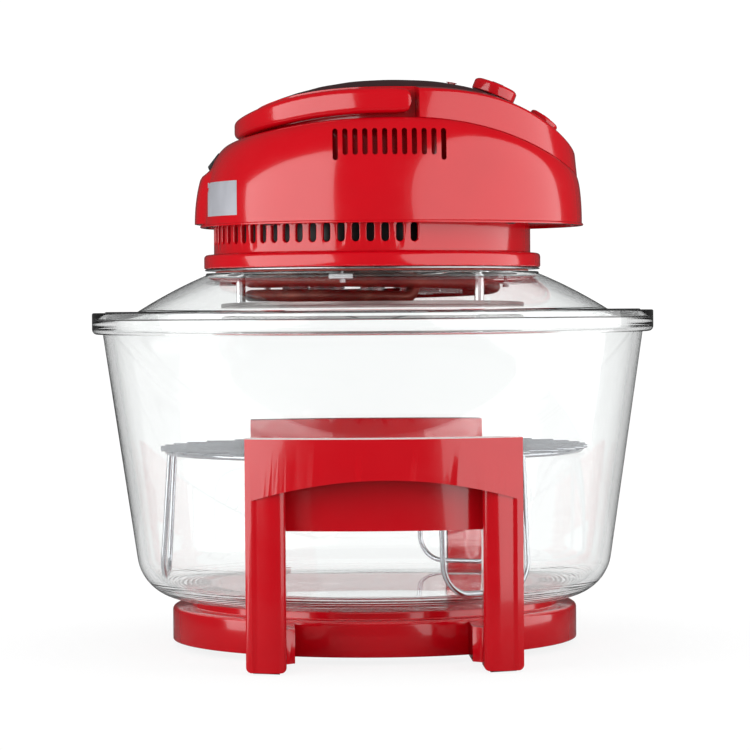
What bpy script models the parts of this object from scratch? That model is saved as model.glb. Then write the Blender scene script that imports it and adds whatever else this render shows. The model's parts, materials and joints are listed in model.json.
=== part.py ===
"""Tabletop convection oven: a glass bowl on a moulded stand, under a glass lid with a red head.

Metres, +Z up. The origin is on the floor, on the bowl's axis. +X is the front, where the knobs are.
Every object is one separate piece. The bowl, the rack and the lid lift off along Z, the carrying
handle folds about its pins, the knobs turn on their spindles and the motor turns both fans.
"""

import math

import bmesh
import bpy
from mathutils import Vector

# Fits and cutters
FIT_GAP = 0.0003
RUNNING_GAP = 0.0015
OVERRUN = 0.004

# Facets
RING_STEPS = 32
BOWL_STEPS = 40
HOUSING_STEPS = 35
SHELL_FRONT_STEPS = 16
SHELL_REAR_STEPS = 20
DOME_STEPS = 4
SKIN_STEPS = 3
WHEEL_STEPS = 16
SMALL_STEPS = 10
SCREW_STEPS = 6
WIRE_STEPS = 5
ARC_STEPS = 4
SMOOTH_ANGLE = math.radians(35)

# Stand ring, a channel section open below, with a raised seat for the bowl
RING_LEDGE = 0.0115
RING_BOTTOM = 0.0040
RING_HEIGHT = 0.0205
RING_WALL = 0.0025
RING_EDGE = 0.0025
SEAT_MARGIN = 0.0050
SEAT_WIDTH = 0.0140
SEAT_RISE = 0.0045

# Stand handles, one each side: two legs, a curved fascia and a finger grip behind it
HANDLE_STANDOFF = 0.0185
HANDLE_HALF_WIDTH = 0.0775
HANDLE_DEPTH = 0.0225
HANDLE_TOP = 0.1310
HANDLE_BOTTOM = 0.0010
HANDLE_WALL = 0.0030
GRIP_BOTTOM = 0.0790
LEG_INNER = 0.0549
FLANGE_INNER = 0.0720
COLUMN_RECESS = 0.0012
COLUMN_ROUND = 0.0068
COLUMN_STEPS = 6
ARCH_END_HEIGHT = 0.0974
ARCH_RISE = 0.0109
ARM_INNER = 0.0500
ARM_OUTER = 0.0680
ARM_TOP_DROP = 0.0010
ARM_ROOT = 0.0060
SCREW_X = 0.0585

# Rubber feet in the legs
FOOT_MARGIN = 0.0035
FOOT_FRONT_MARGIN = 0.0070
FOOT_POCKET = 0.0030

# Stand screws, and the screws of the lid
SCREW_RADIUS = 0.0015
SCREW_LENGTH = 0.0120
SCREW_HEAD_RADIUS = 0.0030
SCREW_HEAD_HEIGHT = 0.0018

# Glass bowl
BOWL_WALL = 0.0050
BOWL_FLAT_RADIUS = 0.1160
BOWL_CORNER = 0.0280
BOWL_FLARE = 0.0475
BOWL_RIM_PROUD = 0.0065
BOWL_RIM_TOP = 0.2015
BOWL_RIM_HEIGHT = 0.0130
RIM_ROUND_SHARE = 0.92
RIM_EDGE = 0.0008
RIM_LAND = 0.0066
REBATE_DEPTH = 0.0042

# Glass lid
LID_GLASS_WALL = 0.0045
LID_FLANGE_WIDTH = 0.0170
LID_FOOT_FILLET = 0.0030
LID_NECK_INSET = 0.0010
LID_NECK_BASE = 0.2195
LID_NECK_TOP = 0.2250
LID_LIP_RADIUS = 0.0890
LID_CONTROL_RADIUS_SHARE = 0.50
LID_CONTROL_HEIGHT_SHARE = 0.60
LID_CURVE_STEPS = 4

# Gasket, and the steel clips that hold the glass neck, with their screws
GASKET_HEIGHT = 0.0008
GASKET_WIDTH = 0.0060
CLAMP_INNER = 0.0830
CLIP_WIDTH = 0.0140
CLAMP_HEIGHT = 0.0012
CLAMP_SCREW_RING = 0.0875
CLAMP_SCREW_RADIUS = 0.0011
CLAMP_SCREW_HEAD = 0.0021
CLAMP_SCREW_BITE = 0.0045

# Heat shield, a dished steel plate
SHIELD_WALL = 0.0009
SHIELD_INSET = 0.0005
SHIELD_DISH_RADIUS = 0.0799
SHIELD_DISH_RISE = 0.0065
SHIELD_BORE = 0.0055

# Lower housing: the clamp flange, the slotted drum and the deck that closes the shell below
FLANGE_RADIUS = 0.1020
FLANGE_HEIGHT = 0.0085
FLANGE_ROUND = 0.0016
DRUM_RADIUS = 0.0960
DRUM_WALL = 0.0025
FLOOR_WALL = 0.0024
FLOOR_BORE = 0.0200
DECK_BOTTOM = 0.2540
DECK_WALL = 0.0022
SLOT_WIDTH = 0.0044
SLOT_HEIGHT = 0.0112
SLOT_DROP = 0.0008
SLOT_COUNT = 41
SLOT_ROUND_STEPS = 2

# Head shell
SHELL_BOTTOM = 0.2525
SHELL_WALL = 0.0025
SHELL_REAR = 0.1035
SHELL_FRONT = 0.1275
SHELL_HALF_WIDTH = 0.1070
SHELL_LIP = 0.0008
SHELL_LIP_HEIGHT = 0.0022
COLLAR_CENTRE = 0.0120
COLLAR_REAR = 0.0950
COLLAR_FRONT = 0.1127
COLLAR_HALF_WIDTH = 0.0935
COLLAR_TOP = 0.3308
COLLAR_TOP_REAR_DROP = 0.0133
COLLAR_TOP_FRONT_DROP = 0.0355
COLLAR_TOP_POWER = 3
COLLAR_LOW = 0.3137
COLLAR_LOW_REAR_DROP = 0.0102
COLLAR_LOW_FRONT_DROP = 0.0317
COLLAR_LOW_POWER = 2.3
COLLAR_STEP = 0.0010
COLLAR_DRAFT = 0.0012
COLLAR_EDGE = 0.0015
CROWN = 0.0104
CROWN_POWER = 1.5
CROWN_RING_SHARES = (0.55,)

# Ramp under the inlet at the rear of the shell
RAMP_DEPTH = 0.0040
RAMP_HALF_ANGLE = math.radians(13)
RAMP_TOP = 0.2880
RAMP_FADE = 0.0060

# Louvres in both sides of the shell
LOUVRE_COUNT = 12
LOUVRE_PITCH = 0.0057
LOUVRE_WIDTH = 0.0030
LOUVRE_CENTRE = 0.0070
LOUVRE_TOP = 0.3070
LOUVRE_BOTTOM = 0.2915
LOUVRE_END_DROP = 0.0030

# Carrying handle, in its pocket round the rear of the collar
CARRY_THICKNESS = 0.0110
CARRY_LIFT = 0.0025
CARRY_EDGE = 0.0018
CARRY_PIVOT_X = 0.0130
CARRY_PIVOT_Z = 0.3235
CARRY_END_RADIUS = 0.0070
CARRY_END_ANGLES = tuple(math.radians(angle) for angle in (75, 50, 25))
CARRY_STATIONS = 20
POCKET_FRONT_X = 0.0245
PIN_RADIUS = 0.0025
PIN_REACH = 0.0080
PIN_HEAD_RADIUS = 0.0040

# Top panel
PANEL_WALL = 0.0020
PANEL_INSET = 0.0145

# Timer and temperature knobs on the sloping front of the panel
TIMER_X = 0.0735
TIMER_RADIUS = 0.0135
TIMER_HEIGHT = 0.0085
DIAL_X = 0.1030
DIAL_RADIUS = 0.0095
DIAL_HEIGHT = 0.0055
KNOB_RAISE = 0.0008
KNOB_DOME_SHARE = 0.25
KNOB_SHOULDER_SHARE = 0.94
KNOB_CROWN_SHARE = 0.60
KNOB_POCKET_SHARE = 0.84
KNOB_GRIP_SHARE = 0.26
KNOB_SCOOP_SHARE = 0.45
SPINDLE_RADIUS = 0.0030
SPINDLE_BITE_SHARE = 0.50
SPINDLE_DEPTH = 0.0100
SWITCH_WIDTH = 0.0160
SWITCH_HEIGHT = 0.0150
SWITCH_DROP = 0.0030
SWITCH_NECK_RADIUS = 0.0050

# Indicator lamps beside the timer knob
LAMP_X = 0.0480
LAMP_Y = 0.0140
LAMP_RADIUS = 0.0025
LAMP_FLANGE = 0.0034
LAMP_FLANGE_HEIGHT = 0.0008
LAMP_LENGTH = 0.0060

# Motor, on the floor of the housing
MOUNT_RADIUS = 0.0420
MOUNT_WALL = 0.0015
MOUNT_BOSS = 0.0070
MOUNT_BOSS_HEIGHT = 0.0030
MOUNT_RING_WALL = 0.0040
MOUNT_RING_HEIGHT = 0.0080
STATOR_WIDTH = 0.0560
STATOR_LENGTH = 0.0660
STATOR_HEIGHT = 0.0200
STATOR_BORE = 0.0150
STATOR_SHIFT = 0.0090
STATOR_WINDOW_LENGTH = 0.0340
STATOR_WINDOW_WIDTH = 0.0110
STATOR_LIMB = 0.0100
WINDING_WALL = 0.0075
WINDING_LENGTH = 0.0260
ROTOR_RADIUS = 0.0146
SHAFT_RADIUS = 0.0030
BRIDGE_WIDTH = 0.0140
BRIDGE_WALL = 0.0016

# Fans on the motor's shaft
FAN_HUB_RADIUS = 0.0075
FAN_DISC_WALL = 0.0012
FAN_VANE_WALL = 0.0012
COOLING_FAN_RADIUS = 0.0400
COOLING_FAN_HEIGHT = 0.0120
COOLING_FAN_VANES = 9
OVEN_FAN_RADIUS = 0.0560
OVEN_FAN_HEIGHT = 0.0110
OVEN_FAN_VANES = 8
OVEN_FAN_TOP = 0.2235
SHAFT_OVERHANG = 0.0010
VANE_INNER_SHARE = 0.45

# Tubular heater, a two-turn coil with both ends up through the shield
COIL_RADIUS = 0.0742
COIL_TUBE = 0.0035
COIL_TOP = 0.2270
COIL_PITCH = 0.0086
COIL_TURNS = 2.08
COIL_POINTS_PER_TURN = 24
COIL_START = math.radians(-104)
COIL_BEND = 0.0055
COIL_BEND_STEPS = 4
COIL_END_TOP = 0.2440
COIL_INWARD_ANGLE = math.radians(60)

# Guard under the heater, hung on three posts
GUARD_RADIUS = 0.0920
GUARD_WALL = 0.0010
GUARD_TOP = 0.2050
GUARD_RIM_RISE = 0.0016
GUARD_BORE = 0.0100
GUARD_SLOT_COUNT = 12
GUARD_SLOT_INNER = 0.0300
GUARD_SLOT_OUTER = 0.0680
GUARD_SLOT_WIDTH = 0.0045
POST_RING = 0.0832
POST_RADIUS = 0.0028
POST_STUD_RADIUS = 0.0014
POST_STUD_LENGTH = 0.0050
POST_ANGLES = tuple(math.radians(angle) for angle in (-43, 77, 197))

# Wire rack
RACK_SPLAY = 0.0015
RACK_HEIGHT = 0.1180
RACK_WIRE = 0.0016
RACK_BAR_WIRE = 0.0012
RACK_BAR_COUNT = 11
RACK_BAR_PITCH = 0.0190
RACK_BAR_OVERHANG = 0.0040
RACK_WELD_SHARE = 0.60
RACK_FOOT_REACH = 0.0110
RACK_LEG_HALF_WIDTH = 0.0280
RACK_LEG_CORNER = 0.0160
RACK_LEG_ANGLES = tuple(math.radians(angle) for angle in (180, 62, -62))
RACK_RING_STEPS = 36

# Mains inlet above the ramp
INLET_WIDTH = 0.0260
INLET_HEIGHT = 0.0120
INLET_DEPTH = 0.0160
INLET_PROUD = 0.0012
INLET_X = 0.0950
INLET_Z = 0.2925
INLET_TILT = math.radians(38)
INLET_SOCKET_MARGIN = 0.0022
INLET_SOCKET_DEPTH = 0.0110

# Safety switch under the carrying handle
PLUNGER_X = -0.0200
PLUNGER_RADIUS = 0.0018
PLUNGER_FOOT = 0.0120
MICROSWITCH_LENGTH = 0.0200
MICROSWITCH_WIDTH = 0.0060
MICROSWITCH_HEIGHT = 0.0120

# Screws and bosses that join the shell to the housing's deck
BOSS_RADIUS = 0.0040
BOSS_HEIGHT = 0.0180
BOSS_INSET = 0.0060
BOSS_ANGLES = tuple(math.radians(angle) for angle in (50, 130, 230, 310))
BOSS_BORE_DEPTH = 0.0110

# Radii that follow from the bowl's flat base and from the head's flange
BOWL_NECK_RADIUS = BOWL_FLAT_RADIUS + BOWL_FLARE
BOWL_RIM_RADIUS = BOWL_NECK_RADIUS + BOWL_RIM_PROUD
RIM_ROUND = BOWL_RIM_PROUD * RIM_ROUND_SHARE
SEAT_RADIUS = BOWL_FLAT_RADIUS - SEAT_MARGIN
RING_RADIUS = SEAT_RADIUS + RING_LEDGE
HANDLE_RADIUS = BOWL_NECK_RADIUS + HANDLE_STANDOFF
RACK_FOOT_RADIUS = BOWL_FLAT_RADIUS + RACK_FOOT_REACH
RACK_RING_RADIUS = RACK_FOOT_RADIUS - RACK_SPLAY
REBATE_RADIUS = BOWL_RIM_RADIUS - RIM_LAND
LID_FLANGE_RADIUS = REBATE_RADIUS - 3 * FIT_GAP
LID_FLANGE_INNER = LID_FLANGE_RADIUS - LID_FLANGE_WIDTH
LID_FOOT_RADIUS = LID_FLANGE_INNER - LID_FOOT_FILLET
LID_NECK_RADIUS = FLANGE_RADIUS - LID_NECK_INSET
SHIELD_RADIUS = FLANGE_RADIUS - SHIELD_INSET

# Levels and places that follow from the sizes above
RING_TOP = RING_BOTTOM + RING_HEIGHT
SEAT_TOP = RING_TOP + SEAT_RISE
BOWL_BASE = SEAT_TOP + FIT_GAP
NECK_LEVEL = BOWL_RIM_TOP - BOWL_RIM_HEIGHT
REBATE_LEVEL = BOWL_RIM_TOP - REBATE_DEPTH
LID_BASE = REBATE_LEVEL + FIT_GAP
GASKET_BASE = LID_NECK_TOP + FIT_GAP
SHIELD_BASE = GASKET_BASE + GASKET_HEIGHT + FIT_GAP
FLANGE_BASE = SHIELD_BASE + SHIELD_WALL + FIT_GAP
FLANGE_TOP = FLANGE_BASE + FLANGE_HEIGHT
SHIELD_TOP = SHIELD_BASE + SHIELD_DISH_RISE + SHIELD_WALL
FLOOR_BASE = SHIELD_TOP + FIT_GAP
FLOOR_TOP = FLOOR_BASE + FLOOR_WALL
DECK_TOP = DECK_BOTTOM + DECK_WALL
LIP_BASE = LID_NECK_TOP - LID_GLASS_WALL
CLAMP_TOP = LIP_BASE - FIT_GAP
GUARD_POST_BASE = GUARD_TOP + FIT_GAP
STATOR_BASE = FLOOR_TOP + MOUNT_WALL + MOUNT_RING_HEIGHT + 2 * FIT_GAP
STATOR_TOP = STATOR_BASE + STATOR_HEIGHT
BRIDGE_BASE = STATOR_TOP + FIT_GAP
COOLING_FAN_BASE = STATOR_TOP + WINDING_WALL + RUNNING_GAP
SHAFT_TOP = COOLING_FAN_BASE + COOLING_FAN_HEIGHT + SHAFT_OVERHANG
SHAFT_BOTTOM = OVEN_FAN_TOP - OVEN_FAN_HEIGHT - SHAFT_OVERHANG
POCKET_DEPTH = CARRY_THICKNESS + RUNNING_GAP
SEAT_INSET = PANEL_INSET - FIT_GAP
SEAT_DROP = PANEL_WALL + FIT_GAP
SKIN_INSET = POCKET_DEPTH + SHELL_WALL

# Colours as linear RGB, with roughness and metallic
RED_PLASTIC = ((0.62, 0.006, 0.012), 0.16, 0.0)
DARK_PANEL = ((0.035, 0.004, 0.008), 0.08, 0.0)
BLACK_PLASTIC = ((0.02, 0.02, 0.022), 0.40, 0.0)
RUBBER = ((0.03, 0.03, 0.03), 0.85, 0.0)
GLASS = ((0.82, 0.90, 0.88), 0.03, 0.0)
CHROME = ((0.75, 0.75, 0.76), 0.12, 1.0)
STEEL = ((0.52, 0.52, 0.53), 0.30, 1.0)
DARK_SHEATH = ((0.060, 0.028, 0.022), 0.42, 0.6)
SILICONE = ((0.55, 0.10, 0.07), 0.70, 0.0)
COPPER = ((0.70, 0.28, 0.13), 0.35, 1.0)
LAMP_RED = ((0.60, 0.03, 0.02), 0.15, 0.0)
LAMP_GREEN = ((0.03, 0.40, 0.06), 0.15, 0.0)

MATERIALS = {}


def material(name, finish):
    """Return the Principled material of that name, made at its first use."""
    if name not in MATERIALS:
        colour, roughness, metallic = finish
        made = bpy.data.materials.new(name)
        made.use_nodes = True
        shader = made.node_tree.nodes["Principled BSDF"]
        shader.inputs["Base Color"].default_value = (*colour, 1.0)
        shader.inputs["Roughness"].default_value = roughness
        shader.inputs["Metallic"].default_value = metallic
        MATERIALS[name] = made
    return MATERIALS[name]


def make_object(name, bm, finish=None):
    """Turn a bmesh into an object with outward faces, smooth but for its sharp edges."""
    bm.normal_update()
    bmesh.ops.recalc_face_normals(bm, faces=bm.faces)
    mesh = bpy.data.meshes.new(name)
    bm.to_mesh(mesh)
    bm.free()
    made = bpy.data.objects.new(name, mesh)
    bpy.context.scene.collection.objects.link(made)
    if finish:
        dress(made, finish)
    return made


def dress(made, finish):
    """Give an object its own material and smooth shading."""
    made.data.materials.clear()
    made.data.materials.append(material(made.name + "_finish", finish))
    made.data.shade_smooth()
    made.data.set_sharp_from_angle(angle=SMOOTH_ANGLE)


def loft(rings, closed=False):
    """Skin a row of rings of points. A ring of one point is a pole, and closed joins the ends."""
    bm = bmesh.new()
    rows = [[bm.verts.new(point) for point in ring] for ring in rings]
    pairs = list(zip(rows, rows[1:]))
    if closed:
        pairs.append((rows[-1], rows[0]))
    for lower, upper in pairs:
        count = max(len(lower), len(upper))
        if count == 1:
            continue
        for index in range(count):
            following = (index + 1) % count
            if len(lower) == 1:
                corners = (lower[0], upper[following], upper[index])
            elif len(upper) == 1:
                corners = (lower[index], lower[following], upper[0])
            else:
                corners = (lower[index], lower[following], upper[following], upper[index])
            bm.faces.new(corners)
    if not closed:
        for row in (rows[0], rows[-1]):
            if len(row) > 1:
                bm.faces.new(row)
    return bm


def turn(section, steps, closed=False):
    """Spin a section of (radius, height) points about Z. An open one starts and ends on the axis."""
    bm = bmesh.new()
    verts = [bm.verts.new((radius, 0, height)) for radius, height in section]
    ends = list(zip(verts, verts[1:]))
    if closed:
        ends.append((verts[-1], verts[0]))
    edges = [bm.edges.new(pair) for pair in ends]
    bmesh.ops.spin(bm, geom=verts + edges, cent=(0, 0, 0), axis=(0, 0, 1), angle=math.tau,
                   steps=steps, use_merge=True)
    bmesh.ops.remove_doubles(bm, verts=bm.verts, dist=FIT_GAP / 10)
    return bm


def prism(outline, bottom, top):
    """Extrude a plan outline of (x, y) points from one height to another."""
    bm = bmesh.new()
    face = bm.faces.new([bm.verts.new((x, y, bottom)) for x, y in outline])
    grown = bmesh.ops.extrude_face_region(bm, geom=[face])
    raised = [item for item in grown["geom"] if isinstance(item, bmesh.types.BMVert)]
    bmesh.ops.translate(bm, verts=raised, vec=(0, 0, top - bottom))
    return bm


def block(low, high):
    """Return a box from its lowest to its highest corner."""
    outline = [(low[0], low[1]), (high[0], low[1]), (high[0], high[1]), (low[0], high[1])]
    return prism(outline, low[2], high[2])


def rounded_block(low, high, radius):
    """Return a box whose upright edges are rounded."""
    bm = block(low, high)
    upright = [edge for edge in bm.edges if abs((edge.verts[0].co - edge.verts[1].co).z) > FIT_GAP]
    bmesh.ops.bevel(bm, geom=upright, offset=radius, segments=2, profile=0.5, affect="EDGES")
    return bm


def rod(radius, bottom, top, steps=SMALL_STEPS):
    """Return a round bar along Z."""
    return turn([(0, bottom), (radius, bottom), (radius, top), (0, top)], steps)


def merge(target, source):
    """Add one bmesh to another as a further separate solid."""
    scratch = bpy.data.meshes.new("scratch")
    source.to_mesh(scratch)
    source.free()
    target.from_mesh(scratch)
    bpy.data.meshes.remove(scratch)
    return target


def shift(bm, offset):
    """Move every point of a bmesh."""
    bmesh.ops.translate(bm, verts=bm.verts, vec=offset)
    return bm


def aim(bm, direction, offset=(0, 0, 0)):
    """Turn a bmesh from +Z to a direction, then move it."""
    turned = Vector(direction).to_track_quat("Z", "Y").to_matrix()
    bmesh.ops.rotate(bm, verts=bm.verts, cent=(0, 0, 0), matrix=turned)
    return shift(bm, offset)


def spin_to(bm, angle):
    """Turn a bmesh about Z."""
    direction = Vector((math.cos(angle), math.sin(angle), 0))
    side = Vector((-math.sin(angle), math.cos(angle), 0))
    for vert in bm.verts:
        vert.co = direction * vert.co.x + side * vert.co.y + Vector((0, 0, vert.co.z))
    return bm


def combine(target, tool, operation):
    """Cut a tool from an object, or join it on, and keep the result as the object's mesh."""
    cutter = make_object(target.name + "_tool", tool)
    cutter.hide_render = True
    cutter.display_type = "WIRE"
    step = target.modifiers.new("shape", "BOOLEAN")
    step.operation = operation
    step.object = cutter
    view = bpy.context.evaluated_depsgraph_get()
    view.update()
    shaped = bpy.data.meshes.new_from_object(target.evaluated_get(view))
    target.modifiers.clear()
    old = target.data
    target.data = shaped
    bpy.data.meshes.remove(old)
    bpy.data.objects.remove(cutter)


def cut(target, tool):
    """Cut a tool's solid out of an object."""
    combine(target, tool, "DIFFERENCE")


def join(target, tool):
    """Join a tool's solid to an object."""
    combine(target, tool, "UNION")


def copy_turned(source, name, angle, finish):
    """Copy an object, turned about Z, with a material of its own."""
    made = source.copy()
    made.data = source.data.copy()
    made.name = name
    made.rotation_euler = (0, 0, angle)
    bpy.context.scene.collection.objects.link(made)
    dress(made, finish)


def seat_origin(made, point):
    """Put an object's origin on a point, such as its joint's axis, and leave its faces in place."""
    for vert in made.data.vertices:
        vert.co -= Vector(point)
    made.location = point


def polar(radius, angle, height=0.0):
    """Return the point at a radius, an angle about Z and a height."""
    return Vector((radius * math.cos(angle), radius * math.sin(angle), height))


def curve_through(start, control, end, steps):
    """Return points of a quadratic curve in (radius, height)."""
    points = []
    for step in range(steps + 1):
        t = step / steps
        points.append(tuple((1 - t) ** 2 * a + 2 * t * (1 - t) * b + t ** 2 * c
                            for a, b, c in zip(start, control, end)))
    return points


# Stand


def handle_point(x, depth):
    """Return the plan point of the near stand handle at x, that far behind its curved face."""
    return x, depth - math.sqrt(HANDLE_RADIUS ** 2 - x ** 2)


def column_depth(x):
    """Return how far behind the face a leg's front lies, rounded off from its flange to its inner side."""
    across = (FLANGE_INNER - x) / (FLANGE_INNER - LEG_INNER)
    return COLUMN_RECESS + COLUMN_ROUND * (1 - math.sqrt(1 - min(1.0, across) ** 2))


def arch_height(x):
    """Return the height of the fascia's arched lower edge."""
    return ARCH_END_HEIGHT + ARCH_RISE * (1 - (x / FLANGE_INNER) ** 2)


def stand_ring():
    """Turn the channel-section ring, with holes for the screws that hold the handles."""
    seat_inner = SEAT_RADIUS - SEAT_WIDTH
    section = [
        (RING_RADIUS, RING_BOTTOM), (RING_RADIUS, RING_TOP - RING_EDGE),
        (RING_RADIUS - RING_EDGE, RING_TOP), (SEAT_RADIUS, RING_TOP),
        (SEAT_RADIUS, SEAT_TOP), (seat_inner, SEAT_TOP), (seat_inner, RING_BOTTOM),
        (seat_inner + RING_WALL, RING_BOTTOM), (seat_inner + RING_WALL, SEAT_TOP - RING_WALL),
        (SEAT_RADIUS - RING_WALL, SEAT_TOP - RING_WALL),
        (SEAT_RADIUS - RING_WALL, RING_TOP - RING_WALL),
        (RING_RADIUS - RING_WALL, RING_TOP - RING_WALL), (RING_RADIUS - RING_WALL, RING_BOTTOM),
    ]
    ring = make_object("stand_ring", turn(section, RING_STEPS, closed=True), RED_PLASTIC)
    holes = bmesh.new()
    for direction in screw_directions():
        bore = rod(SCREW_RADIUS + FIT_GAP, RING_RADIUS - 2 * RING_WALL, RING_RADIUS + OVERRUN, SCREW_STEPS)
        merge(holes, aim(bore, direction, (0, 0, screw_height())))
    cut(ring, holes)
    dress(ring, RED_PLASTIC)


def screw_height():
    """Return the height of the screws that hold the stand's handles to its ring."""
    return (RING_BOTTOM + RING_TOP) / 2


def screw_directions():
    """Return the outward directions of the four screws of the stand."""
    across = SCREW_X / RING_RADIUS
    along = math.sqrt(1 - across ** 2)
    return [(x * across, y * along, 0) for y in (-1, 1) for x in (-1, 1)]


def foot_outline(side, gap):
    """Return the plan outline of a foot, or of its pocket for no gap, under one leg."""
    inner = LEG_INNER + FOOT_MARGIN + gap
    outer = HANDLE_HALF_WIDTH - FOOT_MARGIN - gap
    front = FOOT_FRONT_MARGIN + gap
    back = HANDLE_DEPTH - FOOT_MARGIN - gap
    corners = ((inner, front), (outer, front), (outer, back), (inner, back))
    return [handle_point(side * x, depth) for x, depth in corners]


def handle_cavity():
    """Return the finger grip: the space behind the fascia, open below."""
    xs = [LEG_INNER * (step / COLUMN_STEPS - 1) for step in range(2 * COLUMN_STEPS + 1)]
    outline = [handle_point(x, HANDLE_WALL) for x in xs]
    outline += [handle_point(x, HANDLE_DEPTH - HANDLE_WALL) for x in reversed(xs)]
    return prism(outline, GRIP_BOTTOM - OVERRUN, HANDLE_TOP - HANDLE_WALL)


def handle_relief():
    """Return what is cut away in front: all under the arch, down to the legs' rounded fronts."""
    width = FLANGE_INNER - LEG_INNER
    right = [FLANGE_INNER - width * math.sin(math.pi / 2 * step / COLUMN_STEPS)
             for step in range(COLUMN_STEPS + 1)]
    middle = [LEG_INNER * (1 - 2 * step / COLUMN_STEPS) for step in range(1, COLUMN_STEPS)]
    left = [-x for x in reversed(right)]
    rings = []
    for x in right + middle + left:
        depth = column_depth(min(FLANGE_INNER, max(LEG_INNER, abs(x))))
        front = handle_point(x, -OVERRUN)
        back = handle_point(x, depth)
        rings.append([(*front, -OVERRUN), (*front, arch_height(x)),
                      (*back, arch_height(x)), (*back, -OVERRUN)])
    return loft(rings)


def stand_handle():
    """Build one handle frame as a curved block, and cut its window, grip, arch and columns."""
    xs = [HANDLE_HALF_WIDTH * (step / COLUMN_STEPS - 1) for step in range(2 * COLUMN_STEPS + 1)]
    outline = [handle_point(x, 0) for x in xs]
    outline += [handle_point(x, HANDLE_DEPTH) for x in reversed(xs)]
    frame = make_object("stand_handle_left", prism(outline, HANDLE_BOTTOM, HANDLE_TOP), RED_PLASTIC)
    deep = HANDLE_RADIUS + OVERRUN
    shallow = HANDLE_RADIUS - 2 * HANDLE_DEPTH
    cut(frame, block((-LEG_INNER, -deep, -OVERRUN), (LEG_INNER, -shallow, GRIP_BOTTOM)))
    cut(frame, handle_cavity())
    cut(frame, handle_relief())
    for side in (-1, 1):
        join(frame, prism(arm_outline(side), RING_BOTTOM, RING_TOP - ARM_TOP_DROP))
        cut(frame, prism(foot_outline(side, 0), -OVERRUN, HANDLE_BOTTOM + FOOT_POCKET))
    bores = bmesh.new()
    tip = RING_RADIUS + SCREW_LENGTH - RING_WALL + FIT_GAP
    for direction in screw_directions()[:2]:
        bore = rod(SCREW_RADIUS + FIT_GAP, RING_RADIUS - OVERRUN, tip, SCREW_STEPS)
        merge(bores, aim(bore, direction, (0, 0, screw_height())))
    cut(frame, bores)
    dress(frame, RED_PLASTIC)
    copy_turned(frame, "stand_handle_right", math.pi, RED_PLASTIC)


def arm_outline(side):
    """Return the plan outline of an arm from a leg's back to the ring's curved wall."""
    reach = RING_RADIUS + FIT_GAP
    xs = [ARM_INNER + (ARM_OUTER - ARM_INNER) * step / COLUMN_STEPS for step in range(COLUMN_STEPS + 1)]
    near = [(side * x, -math.sqrt(reach ** 2 - x ** 2)) for x in xs]
    far = [handle_point(side * ARM_OUTER, HANDLE_DEPTH - ARM_ROOT),
           handle_point(side * LEG_INNER, HANDLE_DEPTH - ARM_ROOT),
           handle_point(side * LEG_INNER, HANDLE_DEPTH),
           handle_point(side * ARM_INNER, HANDLE_DEPTH + ARM_ROOT)]
    return near + far


def stand_feet():
    """Make the rubber foot in the bottom of each leg."""
    names = iter(("rear_left", "front_left", "front_right", "rear_right"))
    for angle in (0, math.pi):
        for side in (-1, 1):
            foot = prism(foot_outline(side, FIT_GAP), 0, HANDLE_BOTTOM + FOOT_POCKET - FIT_GAP)
            make_object("foot_" + next(names), spin_to(foot, angle), RUBBER)


def screw(name, point, direction, length, radius, head, finish=STEEL):
    """Make a pan-head screw: the head's flat seat at a point, and the shank along a direction."""
    section = [(0, -SCREW_HEAD_HEIGHT), (head, -SCREW_HEAD_HEIGHT), (head, 0), (radius, 0),
               (radius, length), (0, length)]
    made = make_object(name, turn(section, SCREW_STEPS), finish)
    made.location = point
    made.rotation_mode = "QUATERNION"
    made.rotation_quaternion = Vector(direction).to_track_quat("Z", "Y")


def stand_screws():
    """Place the screws inside the ring's channel, through its wall into the handles' arms."""
    inside = (RING_RADIUS - RING_WALL) * math.cos(math.pi / RING_STEPS) - FIT_GAP
    for number, direction in enumerate(screw_directions(), 1):
        point = Vector(direction) * inside + Vector((0, 0, screw_height()))
        screw(f"stand_screw_{number}", point, direction, SCREW_LENGTH - 2 * FIT_GAP,
              SCREW_RADIUS, SCREW_HEAD_RADIUS)


# Bowl, rack and glass lid


def bowl_corner():
    """Return the corner's centre and the angle where its arc meets the sloping wall."""
    centre = (BOWL_FLAT_RADIUS, BOWL_BASE + BOWL_CORNER)
    run, rise = BOWL_NECK_RADIUS - centre[0], NECK_LEVEL - centre[1]
    end = math.atan2(rise, run) - math.acos(BOWL_CORNER / math.hypot(run, rise))
    return centre, end


def bowl_arc(offset, steps):
    """Return the corner's arc from the flat base to the wall, that far inside the outer face."""
    centre, end = bowl_corner()
    radius = BOWL_CORNER - offset
    points = []
    for step in range(steps + 1):
        angle = -math.pi / 2 + (end + math.pi / 2) * step / steps
        points.append((centre[0] + radius * math.cos(angle), centre[1] + radius * math.sin(angle)))
    return points


def bowl_inner_radius(level):
    """Return the radius of the bowl's inner wall at a level above its corner."""
    run = math.tan(-bowl_corner()[1])
    return BOWL_NECK_RADIUS - BOWL_WALL + (level - NECK_LEVEL) * run


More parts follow.
